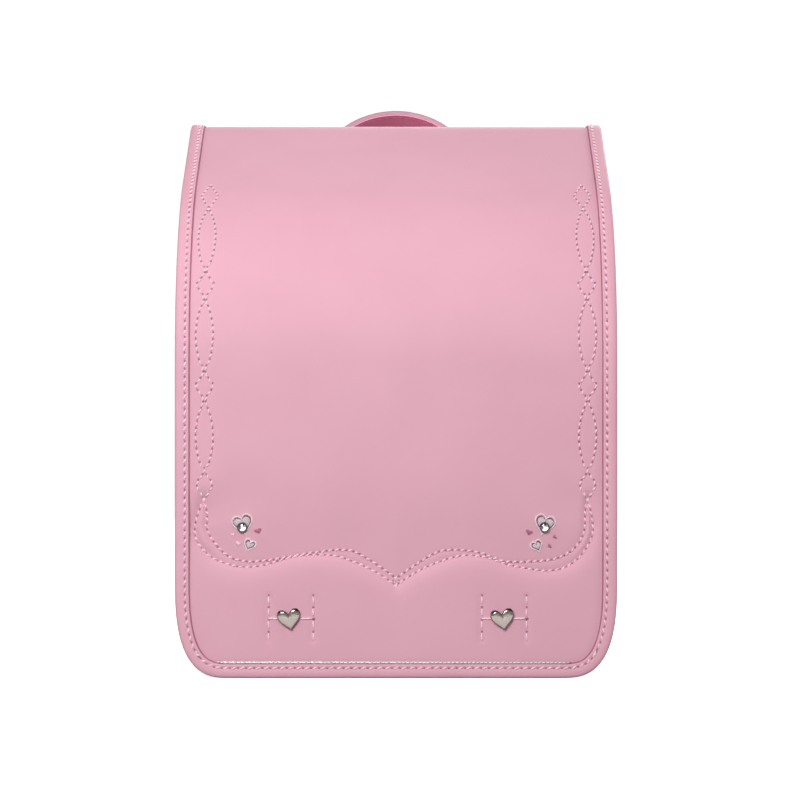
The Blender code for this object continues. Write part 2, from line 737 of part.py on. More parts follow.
def build_lock(assembly, tongue):
    """Turn lock under the second compartment: base, tongue plate with its slot, and knob."""
    y = lock_middle_y()
    base_bottom = tongue_middle_z() + TONGUE_WALL / 2 + GAP
    half = LOCK_SIZE / 2
    base = slab((-half, half), (y - half, y + half), (base_bottom, base_bottom + LOCK_BASE_WALL))
    stem_half_x, stem_half_y = KNOB_WIDTH / 2 - GAP, KNOB_LENGTH / 2 - GAP
    plate_top = tongue_middle_z() - TONGUE_WALL / 2 - GAP
    plate_bottom = plate_top - LOCK_PLATE_WALL
    assembly.add("lock_base", bevel_edges(base, 0.6 * MM), nickel())
    plate_half_x, plate_half_y = LOCK_PLATE_WIDTH / 2, LOCK_PLATE_LENGTH / 2
    tongue_plate = assembly.add(
        "tongue_plate",
        slab(
            (-plate_half_x, plate_half_x), (y - plate_half_y, y + plate_half_y),
            (plate_bottom, plate_top),
        ),
        nickel(),
    )
    slot = assembly.add(
        "knob_slot",
        slab(
            (-stem_half_x - GAP, stem_half_x + GAP), (y - stem_half_y - GAP, y + stem_half_y + GAP),
            (plate_bottom - TONGUE_WALL, base_bottom - GAP / 2),
        ),
        None,
        is_cutter=True,
    )
    assembly.cut(tongue, slot)
    assembly.cut(tongue_plate, slot)
    cap_top = plate_bottom - GAP
    stem_top = base_bottom - GAP
    cap_half_x, cap_half_y = KNOB_WIDTH / 2, KNOB_WIDTH / 2
    rings = [
        box_ring(stem_half_x, stem_half_y, y, stem_top),
        box_ring(stem_half_x, stem_half_y, y, cap_top),
        box_ring(cap_half_x, cap_half_y, y, cap_top),
        box_ring(cap_half_x, cap_half_y, y, cap_top - KNOB_CAP_WALL / 2),
        box_ring(cap_half_x * 0.85, cap_half_y * 0.85, y, cap_top - KNOB_CAP_WALL),
    ]
    assembly.add("lock_knob", loft(rings), nickel())


def box_ring(half_x, half_y, y, z):
    return [
        (-half_x, y - half_y, z), (half_x, y - half_y, z),
        (half_x, y + half_y, z), (-half_x, y + half_y, z),
    ]


def build_crystals(assembly):
    """A cut stone with a flat table in a low metal cup, on each side of the flap."""
    seat = FLAP_FRONT_Y - GAP
    stone_seat = seat - SETTING_WALL - GAP
    cup_outer = CRYSTAL_RADIUS + GAP + SETTING_WALL
    # Columns: height as a share of the stone, radius as a share of the girdle.
    cut = ((0.0, 0.72), (0.42, 1.0), (0.52, 1.0), (1.0, 0.56))
    places = ((-1, CRYSTAL_LEFT_EDGE, "left"), (1, CRYSTAL_RIGHT_EDGE, "right"))
    for side, edge, word in places:
        x = side * (FLAP_WIDTH / 2 - edge)

        def ring(radius, y, centre_x=x):
            return [(centre_x + px, y, CRYSTAL_Z + pz) for px, pz in circle(radius, CRYSTAL_SIDES)]

        stone = [ring(CRYSTAL_RADIUS * r, stone_seat - CRYSTAL_HEIGHT * h) for h, r in cut]
        assembly.add(f"crystal_{word}", loft(stone), material("cut_crystal", CLEAR, 0.03))
        cup = [
            ring(cup_outer * 0.92, seat),
            ring(cup_outer, seat - SETTING_HEIGHT),
            ring(CRYSTAL_RADIUS + GAP, seat - SETTING_HEIGHT),
            ring(CRYSTAL_RADIUS + GAP, seat - SETTING_WALL),
        ]
        assembly.add(f"crystal_setting_{word}", loft(cup), nickel())


def handle_foot():
    """The pins' common line: (y, z)."""
    return HANDLE_FOOT_STANDOFF, FLAP_HEIGHT - HANDLE_FOOT_DROP


def lean(x, across, rise):
    """A point of the upright handle (across its width, up from the pin), leaned back."""
    foot_y, foot_z = handle_foot()
    y = foot_y + across * math.cos(HANDLE_LEAN) + rise * math.sin(HANDLE_LEAN)
    z = foot_z - across * math.sin(HANDLE_LEAN) + rise * math.cos(HANDLE_LEAN)
    return (x, y, z)


def handle_strip(inner, outer):
    """The arch between two distances outside its middle line: legs, then half an ellipse."""
    half_span = HANDLE_SPAN / 2
    oval = HANDLE_RISE - HANDLE_LEG
    line = [((-half_span, -HANDLE_LEG * 0.6), (-1.0, 0.0))]
    for i in range(HANDLE_STATIONS):
        angle = math.pi - math.pi * i / (HANDLE_STATIONS - 1)
        normal = Vector((math.cos(angle) / half_span, math.sin(angle) / oval)).normalized()
        point = (half_span * math.cos(angle), HANDLE_LEG + oval * math.sin(angle))
        line.append((point, (normal.x, normal.y)))
    line.append(((half_span, -HANDLE_LEG * 0.6), (1.0, 0.0)))
    half_width = HANDLE_WIDTH / 2
    rings = []
    for (x, rise), (out_x, out_z) in line:
        corners = ((inner, -half_width), (outer, -half_width), (outer, half_width), (inner, half_width))
        rings.append([lean(x + out_x * out, across, rise + out_z * out) for out, across in corners])
    return loft(rings)


def build_handle(assembly):
    strip_inner = -HANDLE_WALL / 2
    lining_outer = strip_inner - GAP
    lining_inner = lining_outer - HANDLE_LINING_WALL
    handle = assembly.add("handle", handle_strip(strip_inner, HANDLE_WALL / 2), leather())
    inner_strip = assembly.add("handle_lining", handle_strip(lining_inner, lining_outer), lining())
    foot_y, foot_z = handle_foot()
    flange_outer = HANDLE_SPAN / 2 + lining_inner - GAP
    flange_inner = flange_outer - BRACKET_WALL
    for side, word in ((-1, "left"), (1, "right")):
        outline = [
            (flange_outer, GAP),
            (flange_outer, foot_y + BRACKET_HEIGHT / 2),
            (flange_inner, foot_y + BRACKET_HEIGHT / 2),
            (flange_inner, GAP + BRACKET_WALL),
            (flange_outer - BRACKET_FOOT, GAP + BRACKET_WALL),
            (flange_outer - BRACKET_FOOT, GAP),
        ]
        levels = (foot_z - BRACKET_HEIGHT / 2, foot_z + BRACKET_HEIGHT / 2)
        rings = [[(side * x, y, z) for x, y in outline] for z in levels]
        bracket = assembly.add(f"handle_bracket_{word}", loft(rings), nickel())

        def pin_ring(radius, x, flip=side):
            return [(flip * x, foot_y + py, foot_z + pz) for py, pz in circle(radius)]

        head_seat = HANDLE_SPAN / 2 + HANDLE_WALL / 2 + GAP
        tail_seat = flange_inner - GAP
        pin = [
            pin_ring(PIN_HEAD_RADIUS * 0.7, head_seat + PIN_HEAD_WALL),
            pin_ring(PIN_HEAD_RADIUS, head_seat + PIN_HEAD_WALL / 2),
            pin_ring(PIN_HEAD_RADIUS, head_seat),
            pin_ring(PIN_RADIUS, head_seat),
            pin_ring(PIN_RADIUS, tail_seat),
            pin_ring(PIN_HEAD_RADIUS * 0.8, tail_seat),
            pin_ring(PIN_HEAD_RADIUS * 0.8, tail_seat - WASHER_WALL),
        ]
        assembly.add(f"handle_pin_{word}", loft(pin), nickel())
        bore = [pin_ring(PIN_RADIUS + GAP, x) for x in (head_seat + HANDLE_WALL, tail_seat - HANDLE_WALL)]
        cutter = assembly.add(f"pin_hole_{word}", loft(bore), None, is_cutter=True)
        for target in (handle, inner_strip, bracket):
            assembly.cut(target, cutter)


def smooth_route(knots, spacing):
    """Points along a smooth curve through the knots, which never swings past one of them."""

    def slope(before, middle, after):
        back, ahead = middle - before, after - middle
        return 0.0 if back * ahead <= 0 else 2 * back * ahead / (back + ahead)

    padded = [knots[0], *knots, knots[-1]]
    points = []
    for before, start, end, after in zip(padded, padded[1:], padded[2:], padded[3:]):
        steps = max(1, round(math.dist(start[:3], end[:3]) / spacing))
        ends = [
            (b, slope(a, b, c) if a != b else c - b, c, slope(b, c, d) if c != d else c - b)
            for a, b, c, d in zip(before, start, end, after)
        ]
        for i in range(steps):
            t = i / steps
            points.append(
                tuple(
                    (2 * t**3 - 3 * t**2 + 1) * p
                    + (t**3 - 2 * t**2 + t) * m
                    + (3 * t**2 - 2 * t**3) * q
                    + (t**3 - t**2) * n
                    for p, m, q, n in ends
                )
            )
    points.append(tuple(knots[-1]))
    return points


def strap_frames(points, acrosses):
    """(middle, across, inward) at each point. Inward is the side that meets the wearer."""
    frames = []
    for i, (point, across) in enumerate(zip(points, acrosses)):
        ahead = points[min(i + 1, len(points) - 1)]
        behind = points[max(i - 1, 0)]
        along = (ahead - behind).normalized()
        level = (across - along * along.dot(across)).normalized()
        frames.append((point, level, along.cross(level)))
    return frames


def strap_rings(points, acrosses, widths, walls, side):
    """Flattened eight-sided sections along a strap, mirrored for the left side."""
    rings = []
    frames = strap_frames(points, acrosses)
    for (middle, across, inward), width, wall in zip(frames, widths, walls):
        w, t = width / 2, wall / 2
        edge = min(t * 0.7, 3 * MM)
        corners = (
            (-w, edge - t), (edge - w, -t), (w - edge, -t), (w, edge - t),
            (w, t - edge), (w - edge, t), (edge - w, t), (-w, t - edge),
        )
        ring = [middle + across * a + inward * b for a, b in corners]
        rings.append([(side * p.x, p.y, p.z) for p in ring])
    return rings


def buckle_frame():
    """Middle of the upper bar, and the buckle's own directions: along, across and outward."""
    top = Vector((BUCKLE_X, BACK_BOARD_Y + BUCKLE_REACH, BUCKLE_Z))
    level = math.cos(BUCKLE_SPLAY)
    along = Vector(
        (
            math.sin(BUCKLE_SPLAY),
            -math.sin(BUCKLE_TILT) * level,
            -math.cos(BUCKLE_TILT) * level,
        )
    )
    across = (Vector((1, 0, 0)) - along * along.x).normalized()
    return top, along, across, across.cross(along)


def turn_radius():
    """From the middle of a square buckle bar to the middle of a strap that goes round it."""
    return BUCKLE_BAR / 2 * math.sqrt(2) + GAP + STRAP_TAB_WALL / 2


def turn_round(centre, along, outward, start, end):
    """A strap's way round a bar. Angle 0 is outward and a quarter turn is along."""
    radius = turn_radius()
    steps = math.ceil(abs(end - start) / math.radians(30))
    points = []
    for i in range(steps + 1):
        angle = start + (end - start) * i / steps
        points.append(centre + (outward * math.cos(angle) + along * math.sin(angle)) * radius)
    return points


def shoulder_knots():
    """The padded strap's middle line with its width and pad, from the cover to the buckle."""
    flat_y = BACK_BOARD_Y + GAP + STRAP_TAB_WALL / 2
    cover_top = STRAP_COVER_TOP + GAP
    rise = STRAP_CROWN_Z - cover_top
    fall = STRAP_CROWN_Z - BUCKLE_Z
    # Columns: shares of the way out to the buckle, of the reach, z, share of width and of pad.
    rows = (
        (0.00, 0.00, STRAP_COVER_TOP - STRAP_COVER_HEIGHT * 0.80, 0.80, 0.0),
        (0.00, 0.00, cover_top, 0.80, 0.0),
        (0.01, 0.06, cover_top + rise * 0.42, 0.80, 0.1),
        (0.04, 0.20, cover_top + rise * 0.82, 0.86, 0.5),
        (0.10, 0.44, STRAP_CROWN_Z, 0.96, 0.9),
        (0.22, 0.70, STRAP_CROWN_Z - fall * 0.07, 1.00, 1.0),
        (0.38, 0.89, STRAP_CROWN_Z - fall * 0.22, 1.00, 1.0),
        (0.55, 0.98, STRAP_CROWN_Z - fall * 0.41, 0.96, 1.0),
        (0.71, 1.00, STRAP_CROWN_Z - fall * 0.61, 0.86, 1.0),
        (0.86, 0.97, STRAP_CROWN_Z - fall * 0.80, 0.72, 0.9),
    )
    knots = []
    for x_share, reach, z, width_share, pad_share in rows:
        x = STRAP_TOP_X + (BUCKLE_X - STRAP_TOP_X) * x_share
        pad = STRAP_TAB_WALL + (STRAP_PAD - STRAP_TAB_WALL) * pad_share
        knots.append((x, flat_y + STRAP_REACH * reach, z, STRAP_WIDTH * width_share, pad))
    top, along, _, outward = buckle_frame()
    last = top + outward * turn_radius() - along * STRAP_TAB_WIDTH
    knots.append((*last, STRAP_WIDTH * 0.56, STRAP_TAB_WALL + (STRAP_PAD - STRAP_TAB_WALL) * 0.5))
    return knots


def build_shoulder_strap(assembly, side, word):
    """Padded strap that ends in a thin tab, hooked round the buckle's upper bar."""
    route = smooth_route(shoulder_knots(), 11 * MM)
    top, along, across, outward = buckle_frame()
    radius = turn_radius()
    lead = top + outward * radius - along * 3 * radius
    hook = [lead, *turn_round(top, along, outward, 0.0, math.radians(210))]
    points = [Vector(p[:3]) for p in route] + hook
    acrosses = [Vector((1, 0, 0))] * len(route) + [across] * len(hook)
    widths = [p[3] for p in route] + [STRAP_TAB_WIDTH] * len(hook)
    walls = [p[4] for p in route] + [STRAP_TAB_WALL] * len(hook)
    rings = strap_rings(points, acrosses, widths, walls, side)
    assembly.add(f"shoulder_strap_{word}", loft(rings), soft_leather())


def build_buckle(assembly, side, word):
    """A slide buckle: two side bars and three cross bars in one casting."""
    top, along, across, outward = buckle_frame()
    inner_half = STRAP_TAB_WIDTH / 2 + 3 * GAP
    outer_half = inner_half + BUCKLE_SIDE
    bar = BUCKLE_BAR / 2
    bars = (0.0, BUCKLE_UPPER_PITCH, BUCKLE_UPPER_PITCH + BUCKLE_LOWER_PITCH)

    def block(name, half_width, along_range, half_wall, is_cutter=False):
        rings = []
        for a in (-half_width, half_width):
            ring = []
            for end, face in ((0, -1), (1, -1), (1, 1), (0, 1)):
                p = top + across * a + along * along_range[end] + outward * half_wall * face
                ring.append((side * p.x, p.y, p.z))
            rings.append(ring)
        return assembly.add(name, loft(rings), nickel(), is_cutter)

    frame = block(f"buckle_{word}", outer_half, (-bar, bars[2] + bar), bar)
    for number, (above, below) in enumerate(zip(bars, bars[1:])):
        window = block(
            f"buckle_window_{word}_{number}", inner_half, (above + bar, below - bar), 3 * bar, True
        )
        assembly.cut(frame, window)


def build_lower_strap(assembly, side, word):
    """Anchor to buckle on the inner side, once round the middle bar, and a tail outside."""
    top, along, across, outward = buckle_frame()
    middle_bar = top + along * BUCKLE_UPPER_PITCH
    radius = turn_radius()
    flat_y = BACK_BOARD_Y + GAP + STRAP_TAB_WALL / 2
    anchor_top = ANCHOR_BOTTOM + ANCHOR_SIZE + GAP
    entry = middle_bar + along * (BUCKLE_LOWER_PITCH + 2 * radius) - outward * radius
    lead = entry + along * STRAP_TAB_WIDTH
    x_way, y_way, z_way = lead.x - STRAP_FOOT_X, lead.y - flat_y, lead.z - anchor_top
    knots = [
        (STRAP_FOOT_X, flat_y, ANCHOR_BOTTOM + ANCHOR_SIZE * 0.1),
        (STRAP_FOOT_X, flat_y, anchor_top),
        (STRAP_FOOT_X + x_way * 0.05, flat_y + y_way * 0.10, anchor_top + z_way * 0.22),
        (STRAP_FOOT_X + x_way * 0.40, flat_y + y_way * 0.48, anchor_top + z_way * 0.58),
        tuple(lead),
        tuple(entry),
    ]
    route = [Vector(p) for p in smooth_route(knots, 10 * MM)]
    loop = turn_round(middle_bar, along, outward, math.pi, 2 * math.pi)
    loop.append(middle_bar + along * (BUCKLE_LOWER_PITCH + radius) + outward * radius)
    down = Vector((0, 0, -1))
    for i in range(1, 6):
        heading = along.lerp(down, 0.16 * i).normalized()
        loop.append(loop[-1] + heading * LOWER_STRAP_TAIL / 5)
    points = route + loop
    acrosses = [Vector((1, 0, 0))] * len(route) + [across] * len(loop)
    count = len(points)
    rings = strap_rings(points, acrosses, [STRAP_TAB_WIDTH] * count, [STRAP_TAB_WALL] * count, side)
    assembly.add(f"lower_strap_{word}", loft(rings), leather())


def rivet(assembly, name, centre, face_y, targets):
    """A domed rivet through a stack of sheets on the back board, and its hole in each of them."""
    x, z = centre
    back_y = BACK_BOARD_Y - BACK_BOARD_WALL

    def ring(radius, y):
        return [(x + px, y, z + pz) for px, pz in circle(radius)]

    rings = [
        ring(WASHER_RADIUS * 0.55, face_y + GAP + WASHER_WALL * 1.6),
        ring(WASHER_RADIUS, face_y + GAP + WASHER_WALL * 0.6),
        ring(WASHER_RADIUS, face_y + GAP),
        ring(SHANK_RADIUS, face_y + GAP),
        ring(SHANK_RADIUS, back_y - GAP),
        ring(WASHER_RADIUS, back_y - GAP),
        ring(WASHER_RADIUS, back_y - GAP - WASHER_WALL),
    ]
    assembly.add(name, loft(rings), nickel())
    ends = (back_y - WASHER_WALL, face_y + WASHER_WALL)
    drill(assembly, f"{name}_hole", centre, ends, SHANK_RADIUS + GAP, targets)


def build_strap_fixings(assembly, back_board):
    """The cover over both straps' upper ends, the two lower anchors, and their rivets."""
    by_name = {obj.name: obj for obj in assembly.pieces}
    sheet_y = BACK_BOARD_Y + STRAP_TAB_WALL + 2 * GAP
    half = STRAP_COVER_WIDTH / 2
    bottom = STRAP_COVER_TOP - STRAP_COVER_HEIGHT
    outline = rounded_outline(-half, half, bottom, STRAP_COVER_TOP, 9 * MM, 3 * MM)
    face_y = sheet_y + STRAP_COVER_WALL
    cover = assembly.add("strap_cover", plate(outline, sheet_y, face_y), leather())
    rivet_z = STRAP_COVER_TOP - STRAP_COVER_HEIGHT * 0.55
    number = 0
    for side, word in ((-1, "left"), (1, "right")):
        strap = by_name[f"shoulder_strap_{word}"]
        for share in (-0.25, 0.25):
            number += 1
            centre = (side * (STRAP_TOP_X + STRAP_WIDTH * share), rivet_z)
            rivet(assembly, f"strap_rivet_{number}", centre, face_y, (cover, strap, back_board))

        left = STRAP_FOOT_X - ANCHOR_SIZE / 2
        top = ANCHOR_BOTTOM + ANCHOR_SIZE
        outline = rounded_outline(left, left + ANCHOR_SIZE, ANCHOR_BOTTOM, top, 8 * MM, 3 * MM)
        outline = [(side * x, z) for x, z in outline]
        anchor_y = sheet_y + ANCHOR_WALL
        anchor = assembly.add(
            f"strap_anchor_{word}", plate(outline, sheet_y, anchor_y), leather()
        )
        lower = by_name[f"lower_strap_{word}"]
        centre = (side * STRAP_FOOT_X, ANCHOR_BOTTOM + ANCHOR_SIZE / 2)
        rivet(assembly, f"anchor_rivet_{word}", centre, anchor_y, (anchor, lower, back_board))


def cushion(left, right, bottom, top):
    """A pad with a flat back, an upright edge and a low dome."""
    # Columns: inset as a share of the shoulder, rise as a share of the dome above the edge.
    contour = ((0, 0), (0.15, 0.6), (0.46, 0.9), (1, 1))
    levels = [(0.0, 0.0)] + [
        (PAD_SHOULDER * share, PAD_EDGE + (PAD_HEIGHT - PAD_EDGE) * rise) for share, rise in contour
    ]
    rings = []
    for inset, height in levels:
        radius = PAD_CORNER_RADIUS - inset
        outline = rounded_outline(
            left + inset, right - inset, bottom + inset, top - inset, radius, radius
        )
        rings.append([(x, BACK_BOARD_Y + GAP + height, z) for x, z in outline])
    return loft(rings)


def build_back_pads(assembly):
    half_channel = PAD_CHANNEL / 2
    low = PAD_SPLIT_Z + half_channel
    high = STRAP_COVER_TOP - STRAP_COVER_HEIGHT - PAD_COVER_GAP
    for side, word in ((-1, "left"), (1, "right")):
        left, right = sorted((side * half_channel, side * PAD_WIDTH / 2))
        assembly.add(f"back_pad_{word}", cushion(left, right, low, high), soft_leather())
    half = LUMBAR_WIDTH / 2
    top = PAD_SPLIT_Z - half_channel
    assembly.add("back_pad_lower", cushion(-half, half, PAD_BOTTOM, top), soft_leather())


def build_ransel():
    for obj in list(bpy.data.objects):
        bpy.data.objects.remove(obj, do_unlink=True)
    assembly = Assembly()
    profile = FlapProfile()
    flap = build_flap(assembly, profile)
    build_flap_binding(assembly, profile)
    build_reflective_piping(assembly, profile)
    back_board = build_main_box(assembly)
    build_front_compartments(assembly)
    tongue = build_tongue(assembly)
    build_heart_rivets(assembly, flap, tongue)
    build_lock(assembly, tongue)
    build_crystals(assembly)
    build_handle(assembly)
    for side, word in ((-1, "left"), (1, "right")):
        build_shoulder_strap(assembly, side, word)
        build_buckle(assembly, side, word)
        build_lower_strap(assembly, side, word)
    build_strap_fixings(assembly, back_board)
    build_back_pads(assembly)
    assembly.stand_on_base_centre()


build_ransel()
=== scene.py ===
# School ransel, closed and standing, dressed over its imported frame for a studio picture.
import math

import bmesh
import bpy
import numpy as np
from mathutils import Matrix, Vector
from mathutils.bvhtree import BVHTree


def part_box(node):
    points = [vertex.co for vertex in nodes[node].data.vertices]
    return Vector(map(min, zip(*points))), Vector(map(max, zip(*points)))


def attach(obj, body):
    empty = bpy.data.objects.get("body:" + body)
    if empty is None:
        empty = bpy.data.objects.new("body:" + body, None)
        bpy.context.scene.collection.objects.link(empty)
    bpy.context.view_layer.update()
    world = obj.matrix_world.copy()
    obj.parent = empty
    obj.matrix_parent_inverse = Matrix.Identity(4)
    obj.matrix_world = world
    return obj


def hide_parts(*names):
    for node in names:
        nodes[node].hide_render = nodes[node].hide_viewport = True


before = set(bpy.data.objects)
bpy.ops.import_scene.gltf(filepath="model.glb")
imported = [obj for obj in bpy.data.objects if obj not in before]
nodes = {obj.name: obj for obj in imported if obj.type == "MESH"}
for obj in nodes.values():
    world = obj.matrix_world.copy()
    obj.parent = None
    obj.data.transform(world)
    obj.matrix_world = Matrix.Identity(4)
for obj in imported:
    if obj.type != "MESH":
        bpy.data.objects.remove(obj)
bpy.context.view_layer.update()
mm = 0.001
print("frame loaded:", len(nodes), "nodes")

# y of the flap's sewn end and of its front, everything else is set back from these
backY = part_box("flap")[1].y
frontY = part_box("flap")[0].y


def newNode(tree, kind, **settings):
    node = tree.nodes.new(kind)
    for key, value in settings.items():
        setattr(node, key, value)
    return node


def setInputs(node, **values):
    for key, value in values.items():
        node.inputs[key.replace("_", " ")].default_value = value
    return node


def mathNode(tree, operation, a, b=None):
    node = newNode(tree, "ShaderNodeMath", operation=operation)
    for socket, value in zip(node.inputs, (a, b)):
        if value is None:
            continue
        if isinstance(value, (int, float)):
            socket.default_value = value
        else:
            tree.links.new(value, socket)
    return node.outputs[0]


def shaderGroup(name, inputs, outputs):
    group = bpy.data.node_groups.new(name, "ShaderNodeTree")
    for label, kind, value in inputs:
        socket = group.interface.new_socket(label, in_out="INPUT", socket_type=kind)
        if value is not None:
            socket.default_value = value
    for label, kind in outputs:
        group.interface.new_socket(label, in_out="OUTPUT", socket_type=kind)
    return group, group.nodes.new("NodeGroupInput"), group.nodes.new("NodeGroupOutput")


def makeGrainGroup():
    # fine pebbled leather: small cells, pores and a slow blotch
    group, source, target = shaderGroup(
        "leatherGrain",
        [("Vector", "NodeSocketVector", None), ("Cell", "NodeSocketFloat", 0.9 * mm),
         ("Blotch", "NodeSocketFloat", 45 * mm)],
        [("Height", "NodeSocketFloat"), ("Shade", "NodeSocketFloat")],
    )
    link = group.links.new
    cellScale = mathNode(group, "DIVIDE", 1.0, source.outputs["Cell"])
    blotchScale = mathNode(group, "DIVIDE", 1.0, source.outputs["Blotch"])
    bend = newNode(group, "ShaderNodeTexNoise")
    setInputs(bend, Detail=2.0)
    link(source.outputs["Vector"], bend.inputs["Vector"])
    link(mathNode(group, "MULTIPLY", cellScale, 0.35), bend.inputs["Scale"])
    shift = newNode(group, "ShaderNodeVectorMath", operation="MULTIPLY_ADD")
    link(bend.outputs["Color"], shift.inputs[0])
    shift.inputs[1].default_value = (0.6 * mm,) * 3
    link(source.outputs["Vector"], shift.inputs[2])
    cells = newNode(group, "ShaderNodeTexVoronoi", feature="SMOOTH_F1")
    link(shift.outputs[0], cells.inputs["Vector"])
    link(cellScale, cells.inputs["Scale"])
    cells.inputs["Smoothness"].default_value = 0.6
    pores = newNode(group, "ShaderNodeTexNoise")
    setInputs(pores, Detail=3.0, Roughness=0.6)
    link(source.outputs["Vector"], pores.inputs["Vector"])
    link(mathNode(group, "MULTIPLY", cellScale, 1.7), pores.inputs["Scale"])
    domes = mathNode(group, "SUBTRACT", 1.0, cells.outputs["Distance"])
    mixed = mathNode(group, "ADD", domes, mathNode(group, "MULTIPLY", pores.outputs["Fac"], 0.5))
    link(mixed, target.inputs["Height"])
    blotch = newNode(group, "ShaderNodeTexNoise")
    setInputs(blotch, Detail=3.0, Roughness=0.5)
    link(source.outputs["Vector"], blotch.inputs["Vector"])
    link(blotchScale, blotch.inputs["Scale"])
    link(blotch.outputs["Fac"], target.inputs["Shade"])
    return group


grainGroup = makeGrainGroup()


def makeLeather(name, look):
    # look: light and dark colour, roughness, cell size, grain depth, specular
    material = bpy.data.materials.new(name)
    material.use_nodes = True
    tree = material.node_tree
    shader = tree.nodes["Principled BSDF"]
    place = newNode(tree, "ShaderNodeTexCoord")
    grain = newNode(tree, "ShaderNodeGroup", node_tree=grainGroup)
    grain.inputs["Cell"].default_value = look["cell"]
    tree.links.new(place.outputs["Object"], grain.inputs["Vector"])
    mix = newNode(tree, "ShaderNodeMix", data_type="RGBA")
    span = newNode(tree, "ShaderNodeMapRange")
    setInputs(span, From_Min=0.35, From_Max=0.65)
    tree.links.new(grain.outputs["Shade"], span.inputs["Value"])
    tree.links.new(span.outputs["Result"], mix.inputs["Factor"])
    mix.inputs["A"].default_value = (*look["dark"], 1)
    mix.inputs["B"].default_value = (*look["light"], 1)
    tree.links.new(mix.outputs["Result"], shader.inputs["Base Color"])
    rough = newNode(tree, "ShaderNodeMapRange")
    setInputs(rough, From_Min=0.9, From_Max=1.5)
    setInputs(rough, To_Min=look["rough"] + 0.06, To_Max=look["rough"] - 0.04)
    tree.links.new(grain.outputs["Height"], rough.inputs["Value"])
    tree.links.new(rough.outputs["Result"], shader.inputs["Roughness"])
    bump = newNode(tree, "ShaderNodeBump")
    setInputs(bump, Strength=look["grain"], Distance=0.12 * mm)
    tree.links.new(grain.outputs["Height"], bump.inputs["Height"])
    tree.links.new(bump.outputs["Normal"], shader.inputs["Normal"])
    shader.inputs["Specular IOR Level"].default_value = look.get("specular", 0.45)
    return material


def makeMetal(name, color, roughness, brush=0.0):
    material = bpy.data.materials.new(name)
    material.use_nodes = True
    tree = material.node_tree
    shader = tree.nodes["Principled BSDF"]
    setInputs(shader, Base_Color=(*color, 1), Metallic=1.0, Roughness=roughness)
    place = newNode(tree, "ShaderNodeTexCoord")
    wear = newNode(tree, "ShaderNodeTexNoise")
    setInputs(wear, Scale=900.0, Detail=3.0)
    tree.links.new(place.outputs["Object"], wear.inputs["Vector"])
    span = newNode(tree, "ShaderNodeMapRange")
    setInputs(span, To_Min=max(0.02, roughness - 0.05), To_Max=roughness + 0.08)
    tree.links.new(wear.outputs["Fac"], span.inputs["Value"])
    tree.links.new(span.outputs["Result"], shader.inputs["Roughness"])
    if brush:
        stretch = newNode(tree, "ShaderNodeMapping")
        stretch.inputs["Rotation"].default_value = (0, 0.6, 0)
        stretch.inputs["Scale"].default_value = (300, 300, 9000)
        tree.links.new(place.outputs["Object"], stretch.inputs["Vector"])
        lines = newNode(tree, "ShaderNodeTexNoise")
        setInputs(lines, Scale=1.0, Detail=2.0)
        tree.links.new(stretch.outputs["Vector"], lines.inputs["Vector"])
        bump = newNode(tree, "ShaderNodeBump")
        setInputs(bump, Strength=brush, Distance=0.02 * mm)
        tree.links.new(lines.outputs["Fac"], bump.inputs["Height"])
        tree.links.new(bump.outputs["Normal"], shader.inputs["Normal"])
    return material


def makeThread(name, color, roughness=0.5, metallic=0.0, twist=0.45 * mm):
    # slanted plies over a sewn thread
    material = bpy.data.materials.new(name)
    material.use_nodes = True
    tree = material.node_tree
    shader = tree.nodes["Principled BSDF"]
    setInputs(shader, Roughness=roughness, Metallic=metallic)
    place = newNode(tree, "ShaderNodeTexCoord")
    plies = newNode(tree, "ShaderNodeTexWave", bands_direction="DIAGONAL")
    setInputs(plies, Scale=0.31 / twist, Distortion=0.6)
    tree.links.new(place.outputs["Object"], plies.inputs["Vector"])
    mix = newNode(tree, "ShaderNodeMix", data_type="RGBA")
    tree.links.new(plies.outputs["Fac"], mix.inputs["Factor"])
    mix.inputs["A"].default_value = (*[c * 0.88 for c in color], 1)
    mix.inputs["B"].default_value = (*color, 1)
    tree.links.new(mix.outputs["Result"], shader.inputs["Base Color"])
    bump = newNode(tree, "ShaderNodeBump")
    setInputs(bump, Strength=0.35, Distance=0.1 * mm)
    tree.links.new(plies.outputs["Fac"], bump.inputs["Height"])
    tree.links.new(bump.outputs["Normal"], shader.inputs["Normal"])
    return material


flapLeather = makeLeather("flapLeather", {
    "light": (0.765, 0.412, 0.506), "dark": (0.745, 0.396, 0.488),
    "rough": 0.60, "cell": 0.8 * mm, "grain": 0.18, "specular": 0.2})
bindingLeather = makeLeather("bindingLeather", {
    "light": (0.765, 0.400, 0.495), "dark": (0.745, 0.378, 0.471),
    "rough": 0.52, "cell": 0.6 * mm, "grain": 0.2, "specular": 0.36})
boxLeather = makeLeather("boxLeather", {
    "light": (0.80, 0.410, 0.510), "dark": (0.755, 0.375, 0.475),
    "rough": 0.5, "cell": 1.0 * mm, "grain": 0.25})
padLeather = makeLeather("padLeather", {
    "light": (0.90, 0.640, 0.690), "dark": (0.86, 0.590, 0.645),
    "rough": 0.6, "cell": 1.3 * mm, "grain": 0.4})
liningLeather = makeLeather("liningLeather", {
    "light": (0.86, 0.640, 0.640), "dark": (0.82, 0.590, 0.590),
    "rough": 0.7, "cell": 1.6 * mm, "grain": 0.35})
gripLining = makeLeather("gripLining", {
    "light": (0.54, 0.135, 0.25), "dark": (0.44, 0.10, 0.20),
    "rough": 0.55, "cell": 0.9 * mm, "grain": 0.3})
edgePaint = makeLeather("edgePaint", {
    "light": (0.88, 0.430, 0.540), "dark": (0.85, 0.400, 0.510),
    "rough": 0.35, "cell": 2.5 * mm, "grain": 0.1})
nickel = makeMetal("nickel", (0.70, 0.67, 0.64), 0.16)
